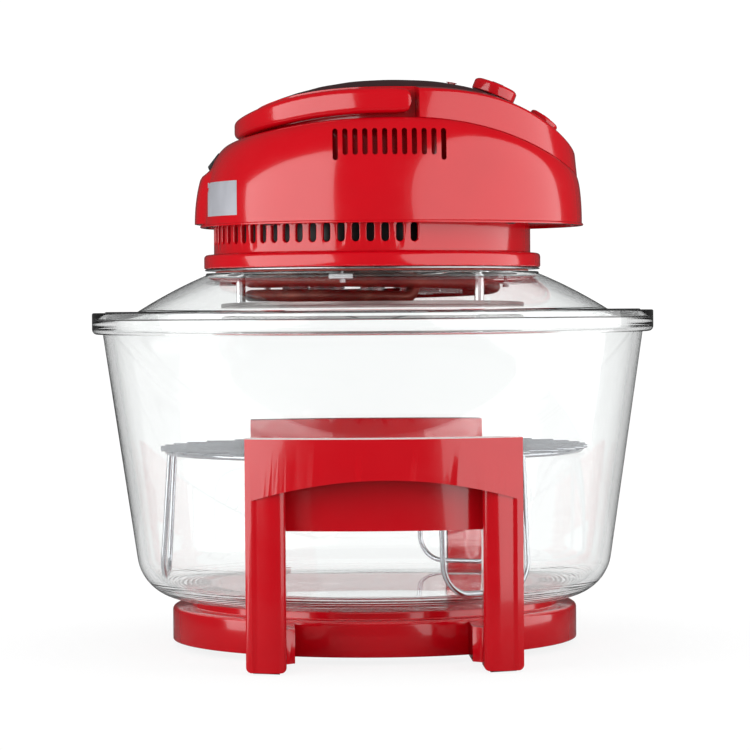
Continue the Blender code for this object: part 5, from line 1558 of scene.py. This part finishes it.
    def top_ring(self, angles: Sequence[float], insets: Point, share: float = 1,
                 drop: float = 0) -> list[Place]:
        """Return a ring of the crowned top.

        Args:
            angles: The ring's angles.
            insets: How far it is inset in front and in the pocket.
            share: What is left of its size when it is shrunk towards its centre.
            drop: How far it is lowered.

        Returns:
            The ring's points.
        """
        ring = []
        for angle in angles:
            x, y = self.collar(angle, insets[self.collar(angle)[0] < self.pocket_front])
            x, y = self.centre + (x - self.centre) * share, y * share
            ring.append((x, y, self.crown(x, y) - drop))
        return ring

    def tip(self, drop: float) -> list[Place]:
        """Return the middle of the crowned top, lowered, as a pole."""
        return [(self.centre, 0, self.crown(self.centre, 0) - drop)]


FORM = HeadForm()
TIMER_X = 0.0735
DIAL_X = 0.1030


@dataclass
class Housing:
    """The lower housing: the clamp flange, the slotted drum and the deck under the shell."""

    facets: int = 280
    bore: float = 0.0808
    bore_edge: float = 0.0003
    flange: float = 0.1020
    flange_base: float = 0.2276
    flange_top: float = 0.2361
    flange_foot_edge: float = 0.0009
    flange_shoulder: float = 0.0022
    drum: float = 0.0960
    drum_root: float = 0.0010
    drum_inside: float = 0.0935
    deck_base: float = 0.2540
    deck_top: float = 0.2562
    deck_inset: float = 0.0031
    floor_base: float = 0.2341
    floor_top: float = 0.2365
    floor_bore: float = 0.0200
    count: int = 41
    pitch: float = math.radians(360 / 70)
    width: float = 0.0044
    slot_low: float = 0.2420
    slot_high: float = 0.2532
    flare: float = 0.0006
    flare_up: float = 0.0005
    flare_creep: float = 0.00002
    slot_reach: Point = (0.004, 0.003)
    # Painted shade: a black sleeve inside the drum that darkens the view through the slots; its
    # radii, gap, edges and facets.
    painted_shade_sleeve: Point = (0.0845, 0.0857)
    painted_shade_sleeve_gap: float = 0.0003
    painted_shade_sleeve_edges: Point = (0.0002, 0.0004)
    painted_shade_sleeve_facets: int = 96

    def build(self) -> None:
        """Skin the housing, cut its slots, set a black sleeve as painted shade inside its drum, and
        dress what it carries.
        """
        flange = rounded([
            (self.bore, self.flange_base, self.bore_edge),
            (self.flange, self.flange_base, self.flange_foot_edge),
            (self.flange, self.flange_top, self.flange_shoulder),
            (self.drum, self.flange_top, self.drum_root), (self.drum, self.deck_base, 0)],
            closed=False)
        inside = [(self.drum_inside, self.deck_top), (self.drum_inside, self.floor_top),
                  (self.floor_bore, self.floor_top), (self.floor_bore, self.floor_base),
                  (self.bore, self.floor_base)]
        angles = [math.tau * step / self.facets for step in range(self.facets)]
        rings = [[polar(radius, angle, height) for angle in angles] for radius, height in flange]
        rings += [[(*FORM.plan(angle, self.deck_inset), height) for angle in angles]
                  for height in (self.deck_base, self.deck_top)]
        rings += [[polar(radius, angle, height) for angle in angles] for radius, height in inside]
        housing = skinned("lower_housing_moulding", rings, closed=True)
        combine(housing, joined("slots", [
            self.slot(math.pi + self.pitch * (number - (self.count - 1) / 2))
            for number in range(self.count)]))
        finish(housing, RED, Body.LID, "lower_housing")
        # Painted shade: a black sleeve just inside the drum, so that the slots look dark.
        (near, far), (foot, rim) = self.painted_shade_sleeve, self.painted_shade_sleeve_edges
        low = self.floor_top + self.painted_shade_sleeve_gap
        painted_shade_sleeve = turned("drum_painted_shade_sleeve", rounded([
            (near, low, foot), (far, low, foot), (far, self.deck_top, rim),
            (near, self.deck_top, rim)]), self.painted_shade_sleeve_facets)
        finish(painted_shade_sleeve, BLACK, Body.LID)
        keep(BRIGHT, *numbered("head_screw", 4))
        keep(BLACK, "safety_switch", "timer_switch", "temperature_switch", edge=SOFT_EDGE)

    def slot(self, angle: float) -> bpy.types.Object:
        """Return the cutter of one slot, flared where it leaves the drum.

        Args:
            angle: Where the slot lies, about Z.

        Returns:
            The cutter.
        """
        low, high, steps = self.slot_low, self.slot_high, 4
        outlines = [(self.drum_inside - self.slot_reach[0], capsule(self.width, low, high))]
        for step, turn in enumerate(quarter(steps)):
            wider = self.flare * (1 - math.cos(turn))
            out = (self.drum - self.flare + self.flare * math.sin(turn)
                   - self.flare_creep * (steps - step))
            outlines.append((out, capsule(self.width + 2 * wider, low - wider,
                                          high + min(wider, self.flare_up))))
        outlines.append((self.drum + self.slot_reach[1], outlines[-1][1]))
        return slot_tool(outlines, angle)


@dataclass
class Shell:
    """The red head shell, with its louvres, and the dark panel let into its top."""

    wall: float = 0.0025
    lip_outs: tuple[Point, ...] = ((0.0003, 0.0), (0.0007, 0.0002), (0.0008, 0.0006),
                                   (0.0007, 0.0010), (0.0003, 0.0013), (0.0, 0.0016))
    dome_steps: int = 30
    inner_steps: int = 12
    ledge: float = 0.0002
    ledge_rise: float = 0.0003
    collar_edge: float = 0.0020
    collar_inset: float = 0.0012
    top_start: float = 0.0032
    pocket_lip: float = 0.0010
    top_steps: int = 6
    inner_collar: float = 0.0047
    inner_drop: float = 0.0040
    crease: float = 38
    shrunk_shares: tuple[float, ...] = (0.2, 0.4, 0.6, 0.8)
    panel_rim_share: float = 0.9
    panel_inset: float = 0.0145
    panel_wall: float = 0.0020
    panel_edge: float = 0.0005
    gap: float = 0.0003
    louvre_count: int = 12
    louvre_pitch: float = 0.0057
    louvre_width: float = 0.0030
    louvre_centre: float = 0.0070
    louvre_low: float = 0.2915
    louvre_high: float = 0.3070
    louvre_longer: float = 0.0030
    louvre_reach: Point = (0.008, 0.004)
    baffle_low: Place = (-0.036, 0.0849, 0.2566)
    baffle_high: Place = (0.049, 0.0861, 0.3093)
    baffle_edge: float = 0.0004
    spindles: Point = (TIMER_X, DIAL_X)
    spindle_bore: float = 0.0053
    lamps: tuple[Point, ...] = ((0.0480, -0.014), (0.0480, 0.014))
    lamp_bore: float = 0.0028
    bore_depth: float = 0.018
    bore_facets: int = 40

    def build(self) -> None:
        """Model the shell and the panel with their openings."""
        angles = FORM.angles()
        shell = skinned("head_shell_moulding", self.rings(angles), closed=True)
        combine(shell, joined("openings", self.louvres() + self.bores() + [Inlet().opening()]))
        finish(shell, RED, Body.LID, "head_shell", angle=self.crease)
        (left, near, low), (right, far, high) = self.baffle_low, self.baffle_high
        baffle = joined("louvre_baffles", [block("baffle", (left, -far, low), (right, -near, high)),
                                           block("baffle", (left, near, low), (right, far, high))])
        bevel(baffle, self.baffle_edge, 2)
        finish(baffle, RED, Body.LID)
        panel = skinned("top_panel_moulding", self.panel(angles))
        combine(panel, joined("openings", self.bores()))
        finish(panel, MAROON, Body.LID, "top_panel")

    def rings(self, angles: Sequence[float]) -> list[list[Place]]:
        """Return the shell's rings, up its outside and down its inside.

        Args:
            angles: The rings' angles.

        Returns:
            The rings.
        """
        bottom, seat, pocket = FORM.bottom, self.panel_inset - self.gap, FORM.pocket
        rings = [[(*FORM.plan(angle, -out), bottom + up) for angle in angles]
                 for out, up in self.lip_outs]
        rings += [FORM.dome(angles, turn, 0) for turn in quarter(self.dome_steps)]
        rings += [FORM.round_collar(angles, (self.ledge, pocket), 0, low=True),
                  FORM.round_collar(angles, (0, pocket), -self.ledge_rise, low=True)]
        for turn in quarter(4):
            inset = self.collar_edge * (1 - math.cos(turn))
            rings.append(FORM.round_collar(
                angles, (self.collar_inset + inset, pocket + inset / 2),
                self.collar_edge * (1 - math.sin(turn))))
        starts = self.top_start, pocket + self.pocket_lip
        for step in range(1, self.top_steps + 1):
            rings.append(FORM.top_ring(angles, tuple(
                start + (seat - start) * (step / self.top_steps) for start in starts)))
        deep = self.panel_wall + self.gap
        under, skin = deep + self.wall, pocket + self.wall
        rings += [FORM.top_ring(angles, (seat, seat), share, deep)
                  for share in (1, *self.shrunk_shares[::-1])]
        rings += [FORM.tip(deep), FORM.tip(under)]
        rings += [FORM.top_ring(angles, (skin, skin), share, under)
                  for share in (*self.shrunk_shares, 1)]
        inner = self.inner_collar, skin
        rings += [FORM.round_collar(angles, inner, self.inner_drop),
                  FORM.round_collar(angles, inner, self.wall, low=True)]
        rings += [FORM.dome(angles, turn, self.wall) for turn in quarter(self.inner_steps)[::-1]]
        rings.append([(*FORM.plan(angle, self.wall), bottom) for angle in angles])
        return rings

    def panel(self, angles: Sequence[float]) -> list[list[Place]]:
        """Return the panel's rings, from the middle of its top to the middle of its underside.

        Args:
            angles: The rings' angles.

        Returns:
            The rings.
        """
        inset, wall, edge = self.panel_inset, self.panel_wall, self.panel_edge
        rings = [FORM.tip(0)]
        rings += [FORM.top_ring(angles, (inset + edge,) * 2, share)
                  for share in (*self.shrunk_shares, self.panel_rim_share, 1)]
        for turn in quarter(3)[1:]:
            narrow = inset + edge * (1 - math.sin(turn))
            rings.append(FORM.top_ring(angles, (narrow,) * 2, 1, edge * (1 - math.cos(turn))))
        return rings + [FORM.top_ring(angles, (inset, inset), 1, wall),
                        FORM.top_ring(angles, (inset, inset), 0.5, wall), FORM.tip(wall)]

    def louvres(self) -> list[bpy.types.Object]:
        """Return the cutters for the louvres, whose two end slots are longer.

        Returns:
            The cutters.
        """
        near, far = self.louvre_reach
        tools = []
        for number in range(self.louvre_count):
            x = self.louvre_centre + self.louvre_pitch * (number - (self.louvre_count - 1) / 2)
            longer = self.louvre_longer if number in (0, self.louvre_count - 1) else 0.0
            outline = capsule(self.louvre_width, self.louvre_low - longer, self.louvre_high)
            tools += [slot_tool([(FORM.collar_half - near, outline), (FORM.half + far, outline)],
                                angle, x) for angle in (QUARTER, -QUARTER)]
        return tools

    def bores(self) -> list[bpy.types.Object]:
        """Return the cutters for the spindles and lamps.

        Returns:
            The cutters.
        """
        places = [(x, 0, self.spindle_bore) for x in self.spindles]
        places += [(x, y, self.lamp_bore) for x, y in self.lamps]
        return [stand_on(drill(radius, self.bore_depth, sides=self.bore_facets),
                         FORM.on_crown(x, y), FORM.normal(x)) for x, y, radius in places]


@dataclass
class Inlet:
    """The mains inlet above the ramp at the rear."""

    place: Place = (-0.095, 0, 0.2925)
    tilt: float = math.radians(38)
    half: Point = (0.0127, 0.0057)
    body_edge: float = 0.0010
    proud: float = 0.0012
    deep: float = 0.0157
    rim: float = 0.0022
    socket_depth: float = 0.011
    socket_edge: float = 0.0006
    socket_overrun: float = 0.004
    opening_half: Point = (0.013, 0.006)
    opening_depth: float = 0.016
    opening_edge: float = 0.0012
    contact_half: Point = (0.0008, 0.0018)
    contact_apart: float = 0.0045
    contact_ends: Point = (-0.0112, -0.0035)
    contact_edge: float = 0.0003

    def seat(self, piece: bpy.types.Object) -> bpy.types.Object:
        """Turn a piece outwards and move it to the inlet's place."""
        out = Vector((-math.cos(self.tilt), 0, math.sin(self.tilt)))
        return stand_on(piece, Vector(self.place), out)

    def opening(self) -> bpy.types.Object:
        """Return the cutter of the opening in the shell.

        Returns:
            The cutter.
        """
        tool = middle_block("opening", self.opening_half, -self.opening_depth, self.socket_overrun)
        bevel(tool, self.opening_edge, 4)
        return self.seat(tool)

    def build(self) -> None:
        """Model the inlet's body, its socket and two flat contacts."""
        body = middle_block("inlet_body", self.half, -self.deep, self.proud)
        bevel(body, self.body_edge, 4)
        inner = self.half[0] - self.rim, self.half[1] - self.rim
        socket = middle_block("socket", inner, -self.socket_depth, self.socket_overrun)
        bevel(socket, self.socket_edge)
        combine(body, socket)
        finish(self.seat(body), BLACK, Body.LID, "power_inlet")
        (half, deep), (low, high) = self.contact_half, self.contact_ends
        contacts = []
        for across in (-self.contact_apart, self.contact_apart):
            contact = block("contact", (across - half, -deep, low), (across + half, deep, high))
            bevel(contact, self.contact_edge, 2)
            contacts.append(contact)
        finish(self.seat(joined("inlet_contacts", contacts)), BRIGHT, Body.LID)


@dataclass
class CarryHandle:
    """The folding carrying handle in its pocket round the rear of the collar."""

    thickness: float = 0.0110
    lift: float = 0.0025
    edge: float = 0.0036
    edge_share: float = 0.45
    edge_steps: int = 5
    crease: float = 38
    pivot_x: float = 0.0130
    pivot_z: float = 0.3235
    end_radius: float = 0.0070
    end_sweep: float = math.radians(86)
    end_power: float = 0.6
    end_steps: int = 8
    stations: int = 150
    pin_bore: float = 0.0028
    pin_depth: float = 0.0240
    pin_inset: float = 0.0026

    def build(self) -> None:
        """Skin the handle, bore it for its pins and dress the pins and the plunger."""
        rings = []
        for step in range(self.end_steps + 1):
            tip = self.end_sweep * (1 - step / self.end_steps)
            x = self.pivot_x + self.end_radius * math.sin(tip) ** self.end_power
            reach = self.end_radius * math.cos(tip) ** self.end_power
            rings.append((math.acos((x - FORM.centre) / FORM.collar_front),
                          self.pivot_z - reach, self.pivot_z + reach))
        start = rings[-1][0]
        arms = []
        for step in range(1, self.stations):
            angle = start + (math.tau - 2 * start) * step / self.stations
            x = FORM.collar(angle)[0]
            arms.append((angle, FORM.collar_low(x) + self.lift, FORM.collar_top(x)))
        mirrored = [(math.tau - angle, low, high) for angle, low, high in reversed(rings)]
        handle = skinned("carry_handle_moulding",
                         [self.station(*each) for each in rings + arms + mirrored])
        across = FORM.collar_half - FORM.pocket - self.pin_inset
        for side in (-1, 1):
            combine(handle, drill(self.pin_bore, self.pin_depth,
                                  (self.pivot_x, side * across, self.pivot_z),
                                  turn=(QUARTER, 0, 0)))
        finish(handle, RED, Body.HANDLE, "carry_handle", angle=self.crease)
        keep(BRIGHT, "handle_pin_left", "handle_pin_right")
        keep(BLACK, "switch_plunger")

    def station(self, angle: float, low: float, high: float) -> list[Vector]:
        """Return one section of the handle, a rounded rectangle across its path.

        Args:
            angle: Where the section lies, about the collar.
            low: Its lower height.
            high: Its upper height.

        Returns:
            The section's points.
        """
        edge = min(self.edge, (high - low) * self.edge_share)
        corners = [(0, low, edge), (0, high, edge), (self.thickness, high, edge),
                   (self.thickness, low, edge)]
        return [Vector((*FORM.collar(angle, inset), height))
                for inset, height in rounded(corners, steps=self.edge_steps)]


@dataclass
class Knob:
    """A domed knob on the sloping front of the panel, scooped out on both sides of its grip."""

    node: str
    body: Body
    x: float
    radius: float
    height: float
    low: float = 0.0008
    hub: float = 0.0010
    hub_rise: float = 0.00002
    foot_edge: float = 0.0006
    side_edge: float = 0.0012
    dome_share: float = 0.25
    brow_shares: Point = (0.90, 0.35)
    brow_edge: float = 0.0030
    top_share: float = 0.60
    top_edge: float = 0.0060
    grip_share: float = 0.26
    floor_share: float = 0.45
    rim_share: float = 0.84
    fillet_steps: int = 6
    scoop_edge: float = 0.0007
    scoop_angle: float = 50
    scoop_overrun: float = 0.001
    edge: float = 0.0003
    edge_angle: float = 40
    facets: int = 96
    crease: float = 35

    def build(self) -> None:
        """Turn the knob, scoop it out and stand it on the panel."""
        radius, height = self.radius, self.height
        dome, (brow, brow_drop) = height * self.dome_share, self.brow_shares
        side = rounded([
            (self.hub, self.low, 0), (radius, self.low, self.foot_edge),
            (radius, height - dome, self.side_edge),
            (radius * brow, height - dome * brow_drop, self.brow_edge),
            (radius * self.top_share, height, self.top_edge),
            (self.hub, height + self.hub_rise, 0)], closed=False, steps=self.fillet_steps)
        knob = turned(self.node + "_moulding", side, self.facets, closed=False)
        floor = height * self.floor_share
        scoops = drill(radius * self.rim_share, height, (0, 0, floor + height / 2), self.facets)
        settle(scoops)
        combine(scoops, middle_block("grip", (radius, radius * self.grip_share),
                                     floor - self.scoop_overrun, 2 * height))
        bevel(scoops, self.scoop_edge, angle=self.scoop_angle)
        combine(knob, scoops)
        bevel(knob, self.edge, 2, self.edge_angle)
        stand_on(knob, FORM.on_crown(self.x), FORM.normal(self.x))
        finish(knob, RED, self.body, self.node, angle=self.crease)


@dataclass
class Controls:
    """The two knobs, with their spindles and the lamps."""

    def build(self) -> None:
        """Model both knobs and dress their spindles and the lamps."""
        Knob("timer_knob", Body.TIMER, TIMER_X, radius=0.0135, height=0.0085).build()
        Knob("temperature_knob", Body.DIAL, DIAL_X, radius=0.0095, height=0.0055).build()
        keep(STEEL, "timer_spindle", "temperature_spindle", edge=0)
        keep(LENS_RED, "power_lamp")
        keep(LENS_GREEN, "heating_lamp")


@dataclass
class Plate:
    """The bare silver label plate on the shell's left rear side."""

    left: float = -0.0990
    right: float = -0.0815
    low: float = 0.2585
    high: float = 0.2790
    thickness: float = 0.0002
    sunk: float = 0.0006
    cells: int = 16
    halvings: int = 40

    def build(self) -> None:
        """Lay a thin sheet on the dome that follows its curve."""
        cells, wide = self.cells, self.cells + 1
        points = []
        for row in range(wide):
            height = self.low + (self.high - self.low) * row / cells
            for column in range(wide):
                x = self.left + (self.right - self.left) * column / cells
                points.append((x, self.surface(x, height), height))
        bm = bmesh.new()
        top = [bm.verts.new((x, y - self.thickness, z)) for x, y, z in points]
        back = [bm.verts.new((x, y + self.sunk, z)) for x, y, z in points]
        for row in range(cells):
            for column in range(cells):
                corner = row * wide + column
                ring = (corner, corner + 1, corner + wide + 1, corner + wide)
                bm.faces.new([top[index] for index in ring])
                bm.faces.new([back[index] for index in reversed(ring)])
        rim = list(range(wide)) + [row * wide + cells for row in range(1, wide)]
        rim += [cells * wide + column for column in range(cells - 1, -1, -1)]
        rim += [row * wide for row in range(cells - 1, 0, -1)]
        for first, second in zip(rim, rim[1:] + rim[:1]):
            bm.faces.new([top[first], back[first], back[second], top[second]])
        finish(grown("bare_plate", bm), FOIL, Body.LID)

    def surface(self, x: float, height: float) -> float:
        """Find the near side of the dome.

        Args:
            x: The place along the head.
            height: The height.

        Returns:
            y on the dome's outer face.
        """
        base = FORM.bottom + FORM.lip
        low, high = math.pi, 3 * QUARTER
        for _ in range(self.halvings):
            angle = (low + high) / 2
            rise = FORM.collar_low(FORM.collar(angle)[0]) - base
            point = FORM.dome([angle], math.asin(min(1.0, (height - base) / rise)), 0)[0]
            if point[0] < x:
                low = angle
            else:
                high = angle
        return point[1]


# Studio


@dataclass(frozen=True)
class Softbox:
    """An area lamp: its name, place, size, power, outline and roll."""

    name: str
    place: Place
    size: Point
    power: float
    shape: LampShape
    roll: float

    def hang(self, aim: Place) -> None:
        """Hang the lamp so that it faces a point.

        Args:
            aim: The point.
        """
        bpy.ops.object.light_add(type="AREA", location=self.place)
        lamp = bpy.context.active_object
        lamp.name = self.name
        lamp.data.shape = self.shape.value
        lamp.data.size, lamp.data.size_y = self.size
        lamp.data.energy = self.power
        facing = (Vector(aim) - Vector(self.place)).to_track_quat("-Z", "Y").to_matrix()
        lamp.rotation_euler = (facing @ Matrix.Rotation(self.roll, 3, "Z")).to_euler()


SOFTBOXES = (
    Softbox("right_softbox", (1.15, -0.52, 0.27), (2.90, 1.55), 18.5, LampShape.OVAL,
            math.radians(-12)),
    Softbox("left_softbox", (-1.12, -0.62, 0.40), (1.66, 1.00), 13.0, LampShape.OBLONG,
            math.radians(15)))


@dataclass
class Studio:
    """The pale floor, the lamps and the camera.

    The floor and the room each have a strength for light on the object, for its reflections,
    for what is seen through glass and for what the eye sees.
    """

    eye: Place = (-0.0663, -1.8990, 0.2027)
    aim: Place = (0.0012, 0.0, 0.1627)
    roll: float = math.radians(-0.4)
    lens: float = 150.0
    sensor: float = 36.0
    lit: Place = (0.0, 0.0, 0.20)
    floor_radius: float = 0.60
    floor_facets: int = 96
    floor_drop: float = 0.0002
    floor_grey: float = 0.92
    floor_mirrored: float = 0.30
    floor_white: float = 1.02
    fade: Point = (0.14, 0.30)
    fade_shares: Point = (0.84, 1.0)
    room_plain: float = 0.54
    room_mirrored: float = 0.06
    room_through: float = 0.88
    room_seen: float = 1.06

    def build(self) -> None:
        """Lay the floor, light the room, hang the lamps and set the camera."""
        self.floor()
        self.world()
        for softbox in SOFTBOXES:
            softbox.hang(self.lit)
        self.camera()

    def floor(self) -> None:
        """Lay a plain floor, white to the eye and through glass, that fades into the room."""
        bpy.ops.mesh.primitive_circle_add(
            vertices=self.floor_facets, radius=self.floor_radius, fill_type="NGON",
            location=(0, 0, -self.floor_drop))
        floor = named("studio_floor")
        material = bpy.data.materials.new("studio_floor")
        material.use_nodes = True
        graph = Graph(material.node_tree)
        matt, dull = (graph.wire("ShaderNodeBsdfDiffuse", {"Color": (grey, grey, grey, 1.0)})
                      for grey in (self.floor_grey, self.floor_mirrored))
        white = graph.wire("ShaderNodeEmission",
                           {"Color": (1, 1, 1, 1), "Strength": self.floor_white})
        apart = graph.wire("ShaderNodeVectorMath", {0: graph.place()}, {"operation": "LENGTH"},
                           "Value")
        far = graph.wire("ShaderNodeMapRange", dict(enumerate((apart, *self.fade,
                                                               *self.fade_shares))),
                         {"interpolation_type": "SMOOTHSTEP"})
        path = graph.node("ShaderNodeLightPath")
        eye = graph.maths("MAXIMUM", graph.out(path, "Is Camera Ray"),
                          graph.out(path, "Is Transmission Ray"))
        both = graph.mix(eye, dull, graph.mix(far, matt, white))
        graph.node("ShaderNodeOutputMaterial", {"Surface": both})
        floor.data.materials.append(material)

    def world(self) -> None:
        """Give the room a plain light: white to the eye and through glass, dim in reflections."""
        world = bpy.data.worlds.new("studio_room")
        bpy.context.scene.world = world
        world.use_nodes = True
        graph = Graph(world.node_tree)
        path = graph.node("ShaderNodeLightPath")
        through, glossy = graph.out(path, "Is Transmission Ray"), graph.out(path, "Glossy Depth")
        bounced = graph.maths("MINIMUM", glossy, 1.0)
        plain = bounced * (self.room_mirrored - self.room_plain) + self.room_plain
        dim = through * (self.room_through - plain) + plain
        direct = graph.maths("LESS_THAN", glossy + graph.out(path, "Diffuse Depth"), 0.5)
        sight = graph.maths("MAXIMUM", graph.out(path, "Is Camera Ray"), through * direct)
        light = graph.wire("ShaderNodeBackground", {
            "Color": (1, 1, 1, 1), "Strength": sight * (self.room_seen - dim) + dim})
        graph.node("ShaderNodeOutputWorld", {"Surface": light})

    def camera(self) -> None:
        """Set the camera at the photograph's viewpoint."""
        bpy.ops.object.camera_add(location=self.eye)
        camera = bpy.context.active_object
        look = (Vector(self.aim) - Vector(self.eye)).to_track_quat("-Z", "Y").to_matrix().to_4x4()
        camera.matrix_world = (Matrix.Translation(self.eye) @ look
                               @ Matrix.Rotation(self.roll, 4, "Z"))
        camera.data.lens, camera.data.sensor_width = self.lens, self.sensor
        bpy.context.scene.camera = camera
        bpy.context.scene.view_settings.view_transform = "Standard"


def main() -> None:
    """Model and dress every piece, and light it."""
    logging.basicConfig(level=logging.INFO, format="%(name)s: %(message)s")
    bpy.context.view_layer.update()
    for part in (Stand(), Bowl(), Rack(), Lid(), Oven(), Housing(), Shell(), Inlet(),
                 CarryHandle(), Controls(), Plate()):
        LOG.info("%s", type(part).__name__)
        part.build()
    Studio().build()


if __name__ == "__main__":
    main()
